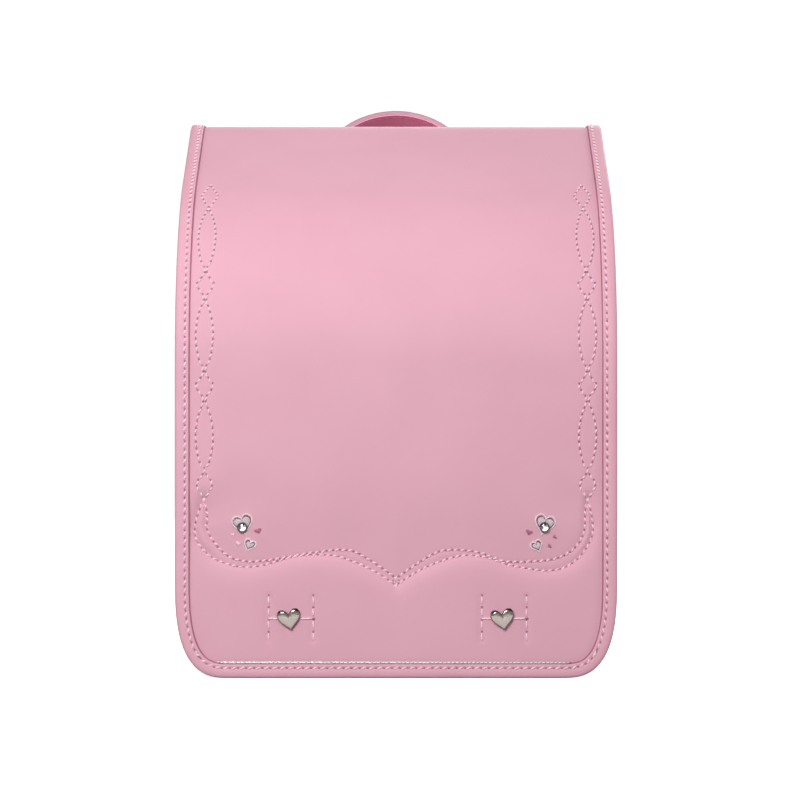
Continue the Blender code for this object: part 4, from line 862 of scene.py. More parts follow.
def sewFlapBinding():
    gap, wall = flapSizes["gap"], flapSizes["bindingWall"]
    rows = {"left": [], "low": [], "right": [], "inside": []}
    for (x, s), (ix, iz) in edgeLine[2:-2]:
        run = "low" if iz > 0.55 else "left" if x < 0 else "right"
        for row, depth, out, sign in ((rows[run], 5.0 * mm, gap + wall * 0.70, 1),
                                      (rows["inside"], 3.9 * mm, -flapSizes["wall"] - gap - wall,
                                       -1)):
            px, ps = x + depth * ix, s + depth * iz
            (_, _), (oy, oz) = flapSide(ps)
            row.append((onFlap(px, ps, out), (0.0, sign * oy, sign * oz)))
    for run, slant in (("left", -0.52), ("low", 0.58), ("right", 0.52), ("inside", 0.2)):
        sewRows("flap_edge_stitches_" + run, [rows[run]],
                stitch(4.9, 3.5, 1.25, slant, 1.8, 1.5), pinkThread)


makeFlapBinding()
sewFlapBinding()
print("flap binding made")


def flapRow(line, lift=0.1 * mm):
    xs, ss = np.array([p[0] for p in line]), np.array([p[1] for p in line])
    heights = reliefAt(xs, ss)
    row = []
    for x, s, h in zip(xs, ss, heights):
        (_, _), (oy, oz) = flapSide(s)
        row.append((onFlap(x, s, h + lift), (0.0, oy, oz)))
    return row


def sewFlapRows():
    scallopRows = [flapRow(line) for line in scallopLines.values()]
    sewRows("scallop_stitches", scallopRows, stitch(4.1, 3.0, 1.15, 0.55, 1.6, 1.4), pinkThread)
    chainRows = [flapRow(way) for ways in chainPaths.values() for way in ways]
    sewRows("chain_stitches", chainRows, stitch(4.2, 2.9, 1.15, -0.35, 1.6), pinkThread)
    bars = []
    for side in (-1, 1):
        for column in rivets["columns"]:
            x = side * rivets["x"] + column
            middle = rivets["barZ"] - sheetBottom
            bars.append(flapRow([(x, middle + rivets["pitch"] * (i / 2 - 1.75))
                                 for i in range(0, 8)]))
            inwards = -1 if column > 0 else 1
            centre = x + inwards * (abs(column) / 2 - 3.0 * mm)
            bars.append(flapRow([(centre + step * 1.45 * mm, middle) for step in (-1, 0, 1)],
                                0.2 * mm))
    sewRows("rivet_bar_stitches", bars, stitch(rivets["pitch"] / mm, 5.0, 1.25, 0.06, 1.6),
            pinkThread)


sewFlapRows()
print("flap stitches made")


# what is fixed to the flap: silver cord, hearts, crystals, embroidery
piping = {"left": -112 * mm, "right": 108 * mm, "width": 1.6 * mm, "height": 0.95 * mm,
          "stitch": 2.5 * mm}


def pipingLine():
    # in the groove beside the binding's lip: (x, s), inward
    middle = flapSizes["bindingLap"] + flapSizes["gap"] + piping["width"] / 2
    line = [((x + ix * middle, s + iz * middle), (ix, iz)) for (x, s), (ix, iz) in edgeLine
            if iz > 0.2 and piping["left"] < x < piping["right"]]
    fine = []
    for ((ax, az), (aix, aiz)), ((bx, bz), (bix, biz)) in zip(line, line[1:]):
        steps = max(1, round(math.dist((ax, az), (bx, bz)) / (1.3 * mm)))
        for i in range(steps):
            t = i / steps
            fine.append(((ax + (bx - ax) * t, az + (bz - az) * t),
                         (aix + (bix - aix) * t, aiz + (biz - aiz) * t)))
    return fine + line[-1:]


def makePiping():
    line = pipingLine()
    rings = []
    for i, ((x, s), (ix, iz)) in enumerate(line):
        taper = min(1.0, 0.35 + 0.65 * min(i, len(line) - 1 - i) / 3)
        swell = 1 + 0.12 * math.sin(i * 1.9)
        ring = []
        for k in range(10):
            a = 2 * math.pi * k / 10
            along = piping["width"] / 2 * taper * swell * math.cos(a)
            out = piping["height"] / 2 * (1 + taper * swell * math.sin(a))
            ring.append(onFlap(x + ix * along, s + iz * along, out))
        rings.append(ring)
    finishPiece("reflective_cord", meshFrom(loft(rings), "reflective_cord"), [reflectiveCord],
                ["reflective_piping"], 0)
    row = [(onFlap(x, s, flapSizes["gap"] - 0.3 * mm + piping["height"]), (0.0, -1.0, 0.0))
           for (x, s), _ in line[1:-1]]
    sewRows("reflective_cord_stitches", [row],
            stitch(piping["stitch"] / mm, 1.9, 0.7, 0.5, 0.7), whiteThread)


def heartLine(width, height, tilt=0.0, count=72, power=3.0):
    waves = (13, -5, -2, -1)
    points = []
    for i in range(count):
        t = 2 * math.pi * (i + 0.5) / count
        points.append((math.copysign(abs(math.sin(t)) ** power, math.sin(t)),
                       sum(w * math.cos((n + 1) * t) for n, w in enumerate(waves))))
    high, low = max(z for _, z in points), min(z for _, z in points)
    points = [(x * width / 2, ((z - low) / (high - low) - 0.5) * height) for x, z in points]
    c, s = math.cos(tilt), math.sin(tilt)
    return [(x * c - z * s, x * s + z * c) for x, z in points]


heartRivet = {"width": 14.4 * mm, "height": 12.9 * mm, "rise": 3.2 * mm, "tilt": math.radians(9),
              "power": 2.2,
              "levels": [(0.0, 0.97), (0.08, 1.0), (0.36, 1.0), (0.52, 0.985), (0.68, 0.95),
                         (0.80, 0.905),
                         (0.88, 0.86), (0.93, 0.82), (0.96, 0.74), (0.985, 0.55), (1.0, 0.3),
                         (1.0, 0.08)]}


def makeHeartRivets():
    outline = heartLine(heartRivet["width"], heartRivet["height"], heartRivet["tilt"],
                        power=heartRivet["power"])
    angles = [math.atan2(z, x) for x, z in outline]
    seat = frontY - 0.3 * mm
    washer = backY - 177.8 * mm + 0.3 * mm
    for side, word in ((-1, "left"), (1, "right")):
        centre = side * rivets["x"]
        rings = []
        for radius, y in ((3.5 * mm, washer + 0.8 * mm), (3.5 * mm, washer), (1.5 * mm, washer),
                          (1.5 * mm, seat)):
            rings.append([(centre + radius * math.cos(a), y, rivets["z"] + radius * math.sin(a))
                          for a in angles])
        for rise, share in heartRivet["levels"]:
            rings.append([(centre + x * share, seat - rise * heartRivet["rise"],
                           rivets["z"] + z * share)
                          for x, z in outline])
        head = finishPiece("heart_head_" + word, meshFrom(loft(rings), "heart"),
                           [heartMetal, heartShade], ["heart_rivet_" + word], 24)
        # the rim's upward-facing faces at the top get a near-black metal: a painted dark reflection
        for face in head.data.polygons:
            if face.center.y < seat and face.normal.z > 0.28 and -0.96 < face.normal.y < -0.05:
                face.material_index = 1


# cut: share of the radius and of the height, and turn, of each ring of facets
crystals = {"radius": 2.4 * mm, "height": 1.5 * mm, "z": 92.3 * mm, "left": -93.7 * mm,
            "right": 90.4 * mm, "cut": ((0.72, 0.0, 0), (1.0, 0.42, 0), (1.0, 0.52, 0),
                                        (0.74, 0.84, 0.5), (0.34, 1.0, 0))}


def makeCrystals():
    seat = frontY - 0.3 * mm
    base = seat - 0.7 * mm
    for word in ("left", "right"):
        x, z, radius, height = crystals[word], crystals["z"], crystals["radius"], crystals["height"]

        bm = loft([circle(x, base - height * rise, z, radius * share, 12, turn)
                   for share, rise, turn in crystals["cut"]])
        bmesh.ops.triangulate(bm, faces=[f for f in bm.faces if len(f.verts) == 4])
        stone = finishPiece("crystal_cut_" + word, meshFrom(bm, "crystal"),
                            [crystalFoil, crystalShadeFacets], ["crystal_" + word], 0)
        stone.data.shade_flat()
        # some facets get a dark metal, most of them at the upper left: painted shade and dark
        # reflection in the stone
        for face in stone.data.polygons:
            turn = math.atan2(face.center.z - z, face.center.x - x)
            dark = math.sin(turn - math.radians(45)) + 0.4 * math.sin(7 * turn) > -0.2
            if dark and 0.1 < abs(face.normal.y) < 0.995:
                face.material_index = 1
        outer = radius + 0.7 * mm
        cup = ((outer * 0.92, 1.2), (outer, 0.9), (outer, -0.8), (outer - 0.15 * mm, -0.95),
               (radius + 0.4 * mm, -0.95), (radius + 0.25 * mm, -0.8), (radius + 0.25 * mm, -0.1))
        rings = [circle(x, seat + depth * mm, z, r, 40) for r, depth in cup]
        finishPiece("crystal_cup_" + word, meshFrom(loft(rings), "cup"), [crystalCup],
                    ["crystal_setting_" + word], 40)


# embroidered hearts: centre, width, height, tilt in degrees, kind; mm across and up
embroidery = {
    "left": [(-93.2, 93.5, 13.4, 13.4, 15, "framed"), (-89.5, 81.0, 8.2, 8.4, -26, "framed"),
             (-84.0, 89.7, 4.4, 3.6, 20, "rose"), (-99.3, 87.4, 2.6, 2.3, 25, "pale"),
             (-96.3, 82.0, 3.0, 2.8, -15, "pale")],
    "right": [(90.4, 93.3, 13.4, 13.4, -15, "framed"), (86.1, 80.4, 8.2, 8.4, 26, "framed"),
              (81.1, 88.8, 4.4, 3.6, -20, "rose"), (96.6, 86.2, 3.0, 2.0, -60, "rose"),
              (93.4, 80.6, 3.2, 2.0, -70, "rose")],
    "thread": 0.40 * mm, "frame": 1.2 * mm, "frameGap": 1.0 * mm,
}


def satinFill(outline, centre, thread, rise):
    # threads laid side by side across a closed outline
    bm = bmesh.new()
    xs = [p[0] for p in outline]
    seat = float(reliefAt(np.array([centre[0]]), np.array([centre[1]]))[0])
    count = max(3, round((max(xs) - min(xs)) / thread))
    for i in range(count):
        x = min(xs) + (max(xs) - min(xs)) * (i + 0.5) / count
        cross = []
        for (ax, az), (bx, bz) in zip(outline, outline[1:] + outline[:1]):
            if (ax - x) * (bx - x) < 0:
                cross.append(az + (bz - az) * (x - ax) / (bx - ax))
        if len(cross) < 2:
            continue
        low, high = min(cross), max(cross)
        rings = []
        for k in range(7):
            t = k / 6
            lift = math.sin(math.pi * t) ** 0.5 if 0 < t < 1 else 0.0
            radius = thread * (0.62 if 0 < k < 6 else 0.3)
            z = low + (high - low) * t
            ring = []
            (y, up), (oy, oz) = flapSide(centre[1] + z)
            for a in range(6):
                turn = math.pi * a / 3
                out = seat + rise * lift + radius * 0.8 * math.sin(turn)
                ring.append((centre[0] + x + radius * math.cos(turn), y + oy * out, up + oz * out))
            rings.append(ring)
        mesh = meshOf(loft(rings), "thread")
        bm.from_mesh(mesh)
        bpy.data.meshes.remove(mesh)
    bmesh.ops.recalc_face_normals(bm, faces=bm.faces)
    return bm


def makeEmbroidery():
    for side in ("left", "right"):
        fills = {"framed": bmesh.new(), "rose": bmesh.new(), "pale": bmesh.new()}
        frames, grooves = [], []
        for x, z, width, height, tilt, kind in embroidery[side]:
            centre = (x * mm, z * mm - sheetBottom)
            slim = embroidery["frame"] + 2 * embroidery["frameGap"] if kind == "framed" else 0.0
            outline = heartLine(width * mm - slim, height * mm - slim, math.radians(tilt), 64)
            mesh = meshOf(satinFill(outline, centre, embroidery["thread"], 0.4 * mm), "threads")
            fills[kind].from_mesh(mesh)
            bpy.data.meshes.remove(mesh)
            if kind == "framed":
                for rows, grow in ((frames, -embroidery["frame"]),
                                   (grooves, -2.6 * embroidery["frame"])):
                    line = heartLine(width * mm + grow, height * mm + grow, math.radians(tilt), 64)
                    rows.append(flapRow([(centre[0] + px, centre[1] + pz) for px,
                                         pz in line + line[:1]], 0.05 * mm))
        sewRows("heart_frames_" + side, frames, stitch(0.55, 0.62, 1.2, 0.35, height=0.9),
                paleThread)
        # the near-black row round each fill is painted shade in the groove
        sewRows("heart_grooves_" + side, grooves, stitch(0.6, 0.9, 0.75, height=0.8), grooveShadeThread)
        for kind, thread, slot in (("framed", silverThread, "reflective_silver"),
                                   ("rose", roseThread, "soft_leather"),
                                   ("pale", pinkThread, "soft_leather")):
            if len(fills[kind].verts):
                finishPiece(kind + "_satin_" + side, meshOf(fills[kind], kind + "_satin"), [thread],
                            angle=0)
            else:
                fills[kind].free()


makePiping()
makeHeartRivets()
makeCrystals()
makeEmbroidery()
print("flap fittings made")


# hard box and front compartments
box = {
    "width": 240 * mm, "depth": 118 * mm, "radius": 29 * mm, "wall": 2.5 * mm, "hem": 9 * mm,
    "bottom": 10.3 * mm, "boardBottom": 1.3 * mm, "boardHalf": 129 * mm, "boardRadius": 38 * mm,
    "boardTopRadius": 10 * mm, "backTop": 318 * mm, "gussetTop": 313 * mm, "frontTop": 288 * mm,
    "backFace": backY - 3.3 * mm, "gussetBack": backY - 6.6 * mm, "gussetFront": backY - 124.6 * mm,
    "frontBack": backY - 124.9 * mm, "lap": 7.5 * mm, "gap": 0.3 * mm, "bindingWall": 1 * mm,
    "roll": 2.2 * mm, "ease": 0.4 * mm,
}


def makeGusset():
    b = box
    w, h, yb, yf = b["wall"], b["hem"], b["gussetBack"], b["gussetFront"]
    roll, ease = b["roll"], b["ease"]
    bend = [(roll * (1 - math.sin(a)), roll * (1 - math.cos(a)))
            for a in (math.pi / 2 * k / 4 for k in range(1, 4))]
    rear, front = yb - w - roll, yf + w + roll
    section = [(h, yb), (h, yb - w + ease), (h - ease, yb - w), (roll, yb - w)]
    section += [(out, yb - w - along) for out, along in bend]
    section += [(0.0, rear + (front - rear) * (i / 16)) for i in range(17)]
    section += [(out, yf + w + along) for out, along in reversed(bend)]
    section += [(roll, yf + w), (h - ease, yf + w), (h, yf + w - ease), (h, yf)]
    section += [(-w, yf)] + [(-w, yf + (yb - yf) * i / 8) for i in range(1, 8)] + [(-w, yb)]

    def topOf(y):
        return b["gussetTop"] + (b["frontTop"] - b["gussetTop"]) * (yb - y) / b["depth"]

    stations = uStations(b["width"] / 2, b["bottom"], b["radius"], b["frontTop"])
    mesh = meshFrom(uSweep(stations, section, topOf), "gusset")
    finishPiece("box_gusset", mesh, [boxLeather], ["main_gusset"], 40)


def makeBoards():
    b = box
    for word, top, face, wall in (("back", b["backTop"], b["backFace"], 3 * mm),
                                  ("front", b["frontTop"], b["frontBack"], 2.5 * mm)):
        outline = roundedOutline(-b["boardHalf"], b["boardHalf"], b["boardBottom"], top,
                                 b["boardRadius"], b["boardTopRadius"])
        makePanel(word + "_panel", outline, face - wall, face, boxLeather,
                  [word + "_board"])


def makeHemBinding(name, replaced, cavityFront, cavityBack, top):
    b = box
    gap, wall, lap = b["gap"], b["bindingWall"], b["lap"]
    middle, half = (cavityFront + cavityBack) / 2, (cavityBack - cavityFront) / 2 + wall
    # each leg as (distance out from the board's edge, height in walls), dented at the stitches
    leg = [(-lap, 0), (-lap - 0.1 * mm, 0.6), (0.3 * mm - lap, 1), (-5.2 * mm, 1), (-4.7 * mm, 0.6),
           (-4.2 * mm, 1), (-1.5 * mm, 1), (-0.4 * mm, 1)]
    section = [(out, cavityFront - wall * rise) for out, rise in leg]
    for k in range(1, 8):
        a = math.pi * k / 8
        section.append((-0.4 * mm + (gap + wall + 0.4 * mm) * math.sin(a) ** 0.7,
                        middle - half * math.cos(a)))
    section += [(out, cavityBack + wall * rise) for out, rise in reversed(leg)]
    section += [(gap, cavityBack), (gap, cavityFront)]
    stations = uStations(b["boardHalf"], b["boardBottom"], b["boardRadius"], top, 5 * mm)
    finishPiece(name, meshFrom(uSweep(stations, section), name), [bindingLeather],
                [replaced], 50)
    rows = [[((x - ox * 4.7 * mm, y, z - oz * 4.7 * mm), (0, way, 0))
             for (x, z), (ox, oz) in stations[1:-1]]
            for y, way in ((cavityFront - wall * 0.66, -1), (cavityBack + wall * 0.66, 1))]
    sewRows(name + "_stitches", rows, stitch(5.0, 3.7, 0.85, 0.16, 1.0), pinkThread)


small = {"width": 224 * mm, "depth": 26 * mm, "wall": 2 * mm, "rearTop": 246 * mm,
         "frontTop": 236 * mm,
         "bottom": 12 * mm, "radius": 24 * mm, "edge": 1.5 * mm, "back": backY - 127.7 * mm}
pocket = {"width": 208 * mm, "depth": 18 * mm, "wall": 1.8 * mm, "top": 150 * mm, "bottom": 15 * mm,
          "radius": 20 * mm, "back": backY - 156.3 * mm, "panel": backY - 174.6 * mm}


def makeBand(name, replaced, sizes, topBack, topFront):
    w, yb, yf = sizes["wall"], sizes["back"], sizes["back"] - sizes["depth"]
    steps = 6
    section = [(0, yb + (yf - yb) * i / steps) for i in range(steps + 1)]
    section = [(-0.4 * mm, yb), (0, yb - 0.4 * mm)] + section[1:-1] + [(0, yf + 0.4 * mm),
                                                                       (-0.4 * mm, yf)]
    section += [(-w, yf), (-w, yb)]

    def topOf(y):
        return topBack + (topFront - topBack) * (yb - y) / sizes["depth"]

    stations = uStations(sizes["width"] / 2, sizes["bottom"], sizes["radius"], topFront)
    finishPiece(name, meshFrom(uSweep(stations, section, topOf), name), [boxLeather],
                [replaced], 40)


def sewPanelEdge(name, y, half, bottom, radius, top):
    inset = 4 * mm
    stations = uStations(half, bottom, radius, top, 5 * mm)
    row = [((x - ox * inset, y, z - oz * inset), (0, -1, 0)) for (x, z), (ox, oz) in stations[1:-1]]
    sewRows(name, [row], stitch(4.6, 3.6, 0.8, 0.16, 1.0), pinkThread)


def makeCompartments():
    makeBand("second_band", "small_gusset", small, small["rearTop"], small["frontTop"])
    edge, half = small["edge"], small["width"] / 2 + small["edge"]
    yb = small["back"] - small["depth"] - 0.3 * mm
    outline = roundedOutline(-half, half, small["bottom"] - edge, small["frontTop"],
                             small["radius"] + edge, 8 * mm)
    makePanel("second_panel", outline, yb - small["wall"], yb, boxLeather,
              ["small_board"])
    sewPanelEdge("second_stitches", yb - small["wall"], half, small["bottom"] - edge,
                 small["radius"] + edge, small["frontTop"])
    makeBand("pocket_band", "pocket_gusset", pocket, pocket["top"], pocket["top"])
    half = pocket["width"] / 2
    outline = roundedOutline(-half, half, pocket["bottom"], pocket["top"], pocket["radius"],
                             7.2 * mm)
    makePanel("pocket_panel", outline, pocket["panel"] - pocket["wall"], pocket["panel"],
              boxLeather, ["pocket_front"])
    sewPanelEdge("pocket_stitches", pocket["panel"] - pocket["wall"], half, pocket["bottom"],
                 pocket["radius"], pocket["top"])


makeGusset()
makeBoards()
makeHemBinding("back_hem_binding", "back_binding", box["gussetBack"] - 2.8 * mm, backY - 3.0 * mm,
               box["gussetTop"] - box["hem"])
makeHemBinding("front_hem_binding", "front_binding", box["frontBack"] - 2.8 * mm,
               box["gussetFront"] + 2.8 * mm, box["frontTop"] - box["boardTopRadius"])
makeCompartments()
softenNode("tongue", boxLeather, 0.5 * mm)
softenNode("lock_base", nickel, 0.3 * mm)
softenNode("tongue_plate", nickel, 0.3 * mm)
softenNode("lock_knob", nickel, 0.25 * mm)
print("box made")


# handle
handle = {"span": 104 * mm, "rise": 62 * mm, "leg": 12 * mm, "width": 22 * mm, "wall": 3.2 * mm,
          "lining": 1 * mm, "gap": 0.3 * mm, "lean": math.radians(27), "footY": backY + 15 * mm,
          "footZ": 306 * mm, "stations": 96}


def leanBack(x, across, rise):
    c, s = math.cos(handle["lean"]), math.sin(handle["lean"])
    return (x, handle["footY"] + across * c + rise * s, handle["footZ"] - across * s + rise * c)


def handleLine():
    half, oval = handle["span"] / 2, handle["rise"] - handle["leg"]
    line = [((-half, -handle["leg"] * 0.6 + i * 3.6 * mm), (-1.0, 0.0)) for i in range(5)]
    for i in range(handle["stations"]):
        a = math.pi - math.pi * i / (handle["stations"] - 1)
        normal = Vector((math.cos(a) / half, math.sin(a) / oval)).normalized()
        line.append(((half * math.cos(a), handle["leg"] + oval * math.sin(a)), tuple(normal)))
    line += [((half, -handle["leg"] * 0.6 + i * 3.6 * mm), (1.0, 0.0)) for i in range(4, -1, -1)]
    return line


def roundedSection(inner, outer, half, edge, outerEdge, steps=3):
    section = []
    corners = ((inner + edge, edge - half, math.pi, edge),
               (outer - outerEdge, outerEdge - half, -math.pi / 2, outerEdge),
               (outer - outerEdge, half - outerEdge, 0, outerEdge),
               (inner + edge, half - edge, math.pi / 2, edge))
    for cx, cy, start, radius in corners:
        for k in range(steps + 1):
            a = start + math.pi / 2 * k / steps
            section.append((cx + radius * math.cos(a), cy + radius * math.sin(a)))
    return section


def makeHandle():
    line = handleLine()
    half = handle["width"] / 2
    inner = -handle["wall"] / 2
    section = roundedSection(inner, -inner, half, 0.7 * mm, 1.6 * mm)
    rings = [[leanBack(x + ox * out, across, rise + oz * out) for out, across in section]
             for (x, rise), (ox, oz) in line]
    bm = loft(rings)
    bm.normal_update()
    strip = finishPiece("handle_leather", meshFrom(bm, "handle_leather"),
                        [flapLeather, edgePaint, gripEdge], ["handle"], 50)
    # the painted cut edge: bright below, darker where it rounds over to the top
    for face in strip.data.polygons:
        spots = [section[v % len(section)] for v in face.vertices]
        if len(spots) == 4 and all(abs(across) > half - 1.2 * mm for _, across in spots):
            face.material_index = 2 if all(out > -1.3 * mm for out, _ in spots) else 1
    liningOuter = inner - handle["gap"]
    section = roundedSection(liningOuter - handle["lining"], liningOuter, half, 0.45 * mm,
                             0.45 * mm)
    rings = [[leanBack(x + ox * out, across, rise + oz * out) for out, across in section]
             for (x, rise), (ox, oz) in line]
    under = finishPiece("handle_under", meshFrom(loft(rings), "handle_under"),
                        [gripLining, edgePaint], ["handle_lining"], 50)
    for face in under.data.polygons:
        spots = [section[v % len(section)] for v in face.vertices]
        if len(spots) == 4 and all(abs(across) > half - 0.3 * mm for _, across in spots):
            face.material_index = 1
    rows = []
    for across in (-half + 2.6 * mm, half - 2.6 * mm):
        rows.append([(leanBack(x + ox * -inner, across, rise + oz * -inner),
                      Vector(leanBack(ox, 0, oz)) - Vector(leanBack(0, 0, 0))) for (x, rise),
                      (ox, oz) in line[1:-1]])
        low = liningOuter - handle["lining"]
        rows.append([(leanBack(x + ox * low, across, rise + oz * low),
                      Vector(leanBack(0, 0, 0)) - Vector(leanBack(ox, 0, oz))) for (x, rise),
                      (ox, oz) in line[1:-1]])
    rows = [[(p, o) for i, (p, o) in enumerate(row) if i % 3 == 0] for row in rows]
    sizes = stitch(4.4, 3.4, 0.75, 0.15, 0.9)
    sewRows("handle_stitches", rows[0::2], sizes, pinkThread)
    sewRows("handle_under_stitches", rows[1::2], sizes, roseThread)


makeHandle()
for word in ("left", "right"):
    softenNode("handle_bracket_" + word, nickel, 0.35 * mm)
    softenNode("handle_pin_" + word, nickel, 0.25 * mm)
print("handle made")


# straps
strap = {
    "width": 48 * mm, "pad": 9 * mm, "tabWidth": 18 * mm, "tab": 2 * mm, "reach": 88 * mm,
    "topX": 29 * mm, "footX": 98 * mm, "coverTop": 264 * mm, "coverHeight": 32 * mm,
    "coverWidth": 116 * mm, "coverWall": 2 * mm, "crownZ": 286 * mm, "bar": 2 * mm,
    "upperPitch": 10.5 * mm, "lowerPitch": 9 * mm, "buckleX": 81 * mm, "buckleZ": 104 * mm,
    "buckleReach": 78 * mm, "tilt": math.radians(36), "splay": math.radians(11), "tail": 62 * mm,
    "anchor": 25 * mm, "anchorBottom": 13 * mm, "face": backY - 3.3 * mm, "gap": 0.3 * mm,
    "seamInset": 4.4 * mm,
}


def smoothRoute(knots, spacing):
    def slope(a, b, c):
        back, ahead = b - a, c - b
        return 0.0 if back * ahead <= 0 else 2 * back * ahead / (back + ahead)

    padded = [knots[0], *knots, knots[-1]]
    points = []
    for before, start, end, after in zip(padded, padded[1:], padded[2:], padded[3:]):
        steps = max(1, round(math.dist(start[:3], end[:3]) / spacing))
        ends = [(b, slope(a, b, c) if a != b else c - b, c, slope(b, c, d) if c != d else c - b)
                for a, b, c, d in zip(before, start, end, after)]
        for i in range(steps):
            t = i / steps
            points.append(tuple((2 * t**3 - 3 * t**2 + 1) * p + (t**3 - 2 * t**2 + t) * m
                                + (3 * t**2 - 2 * t**3) * q + (t**3 - t**2) * n for p, m, q,
                                n in ends))
    points.append(tuple(knots[-1]))
    return points


def strapFrames(points, acrosses):
    frames = []
    for i, (point, across) in enumerate(zip(points, acrosses)):
        along = (points[min(i + 1, len(points) - 1)] - points[max(i - 1, 0)]).normalized()
        level = (across - along * along.dot(across)).normalized()
        frames.append((point, level, along.cross(level)))
    return frames


def buckleFrame():
    top = Vector((strap["buckleX"], strap["face"] + strap["buckleReach"], strap["buckleZ"]))
    level = math.cos(strap["splay"])
    along = Vector((math.sin(strap["splay"]), -math.sin(strap["tilt"]) * level,
                    -math.cos(strap["tilt"]) * level))
    across = (Vector((1, 0, 0)) - along * along.x).normalized()
    return top, along, across, across.cross(along)


turnRadius = strap["bar"] / 2 * math.sqrt(2) + strap["gap"] + strap["tab"] / 2


def turnRound(centre, along, outward, start, end):
    steps = math.ceil(abs(end - start) / math.radians(12))
    angles = [start + (end - start) * i / steps for i in range(steps + 1)]
    return [centre + (outward * math.cos(a) + along * math.sin(a)) * turnRadius for a in angles]


def shoulderKnots():
    flat = strap["face"] + strap["gap"] + strap["tab"] / 2
    coverTop = strap["coverTop"] + strap["gap"]
    rise, fall = strap["crownZ"] - coverTop, strap["crownZ"] - strap["buckleZ"]
    # share of the way out, of the reach, height, share of width and of pad
    rows = (
        (0.00, 0.00, strap["coverTop"] - strap["coverHeight"] * 0.80, 0.80, 0.0),
        (0.00, 0.00, coverTop, 0.80, 0.0),
        (0.01, 0.06, coverTop + rise * 0.42, 0.80, 0.1),
        (0.04, 0.20, coverTop + rise * 0.82, 0.86, 0.5),
        (0.10, 0.44, strap["crownZ"], 0.96, 0.9),
        (0.22, 0.70, strap["crownZ"] - fall * 0.07, 1.00, 1.0),
        (0.38, 0.89, strap["crownZ"] - fall * 0.22, 1.00, 1.0),
        (0.55, 0.98, strap["crownZ"] - fall * 0.41, 0.96, 1.0),
        (0.71, 1.00, strap["crownZ"] - fall * 0.61, 0.86, 1.0),
        (0.86, 0.97, strap["crownZ"] - fall * 0.80, 0.72, 0.9),
    )
    knots = []
    for xShare, reach, z, widthShare, padShare in rows:
        x = strap["topX"] + (strap["buckleX"] - strap["topX"]) * xShare
        knots.append((x, flat + strap["reach"] * reach, z, strap["width"] * widthShare,
                      strap["tab"] + (strap["pad"] - strap["tab"]) * padShare))
    top, along, _, outward = buckleFrame()
    last = top + outward * turnRadius - along * strap["tabWidth"]
    knots.append((*last, strap["width"] * 0.56, strap["tab"] + (strap["pad"] - strap["tab"]) * 0.5))
    return knots


def paddedSection(width, wall):
    # flat seam allowance at both edges, then a crowned middle: (across, inward)
    w, t = width / 2, wall / 2
    pad = max(0.0, min(1.0, (wall - strap["tab"]) / (strap["pad"] - strap["tab"])))
    seam = strap["tab"] / 2 + 0.3 * mm * pad
    upper = []
    for k in range(17):
        share = k / 16 * 2 - 1
        inset = 1 - abs(share)
        crown = min(1.0, inset / 0.34) if pad else 1.0
        rise = seam + (t - seam) * math.sin(math.pi / 2 * crown) ** 1.2
        dip = 0.55 * mm * pad * math.exp(-((inset * w - strap["seamInset"]) / (1.2 * mm)) ** 2)
        upper.append((share * (w - 0.5 * mm), rise - dip))
    lower = [(a, -b) for a, b in reversed(upper)]
    return upper + [(w, seam * 0.4), (w, -seam * 0.4)] + lower + [(-w, -seam * 0.4),
                                                                  (-w, seam * 0.4)]


def strapMesh(points, acrosses, widths, walls, side, section):
    rings = []
    for (middle, across, inward), width, wall in zip(strapFrames(points, acrosses), widths, walls):
        ring = [middle + across * a + inward * b for a, b in section(width, wall)]
        rings.append([(side * p.x, p.y, p.z) for p in ring])
    return loft(rings)


def makeShoulderStrap(side, word):
    route = smoothRoute(shoulderKnots(), 4.5 * mm)
    top, along, across, outward = buckleFrame()
    last = route[-1]
    start, lead = Vector(last[:3]), top + outward * turnRadius - along * 3 * turnRadius
    # the end of the pad is cut to a half round before the tab
    shoulder = []
    for share in (0.22, 0.42, 0.58, 0.70, 0.80):
        ease = math.sqrt(1 - share / 0.8) if share < 0.8 else 0.0
        shoulder.append((start.lerp(lead, share),
                         strap["tabWidth"] + (last[3] - strap["tabWidth"]) * ease,
                         strap["tab"] + (last[4] - strap["tab"]) * ease))
    hook = [lead, *turnRound(top, along, outward, 0.0, math.radians(210))]
    points = [Vector(p[:3]) for p in route] + [p for p, _, _ in shoulder] + hook
    acrosses = [Vector((1, 0, 0)).lerp(across, max(0.0, (i - len(route) + 6) / 6)).normalized()
                for i in range(len(route))] + [across] * (len(hook) + len(shoulder))
    widths = [p[3] for p in route] + [w for _, w, _ in shoulder] + [strap["tabWidth"]] * len(hook)
    walls = [p[4] for p in route] + [w for _, _, w in shoulder] + [strap["tab"]] * len(hook)
    bm = strapMesh(points, acrosses, widths, walls, side, paddedSection)
    name = "shoulder_strap_" + word
    piece = finishPiece(name + "_padded", meshFrom(bm, name), [padLeather], [name],
                        50)
    frames = strapFrames(points, acrosses)
    rows = []
    start, end = 9, len(route) - 2
    for edge in (-1, 1):
        for face in (-1, 1):
            row = []
            for i in range(start, end):
                (middle, level, inward), width, wall = frames[i], widths[i], walls[i]
                section = paddedSection(width, wall)[:17]
                aside = width / 2 - strap["seamInset"]
                height = np.interp(aside, [a for a, _ in section], [b for _, b in section])
                p = middle + level * aside * edge + inward * float(height) * face
                row.append(((side * p.x, p.y, p.z),
                            (side * inward.x * face, inward.y * face, inward.z * face)))
            rows.append(row)
    sewRows(name + "_stitches", rows, stitch(4.6, 3.6, 0.8, 0.15, 0.95), pinkThread)


def flatSection(width, wall):
    w, t, e = width / 2, wall / 2, wall * 0.3
    return [(-w, e - t), (e - w, -t), (0, -t), (w - e, -t), (w, e - t), (w, t - e), (w - e, t),
            (0, t),
            (e - w, t), (-w, t - e)]


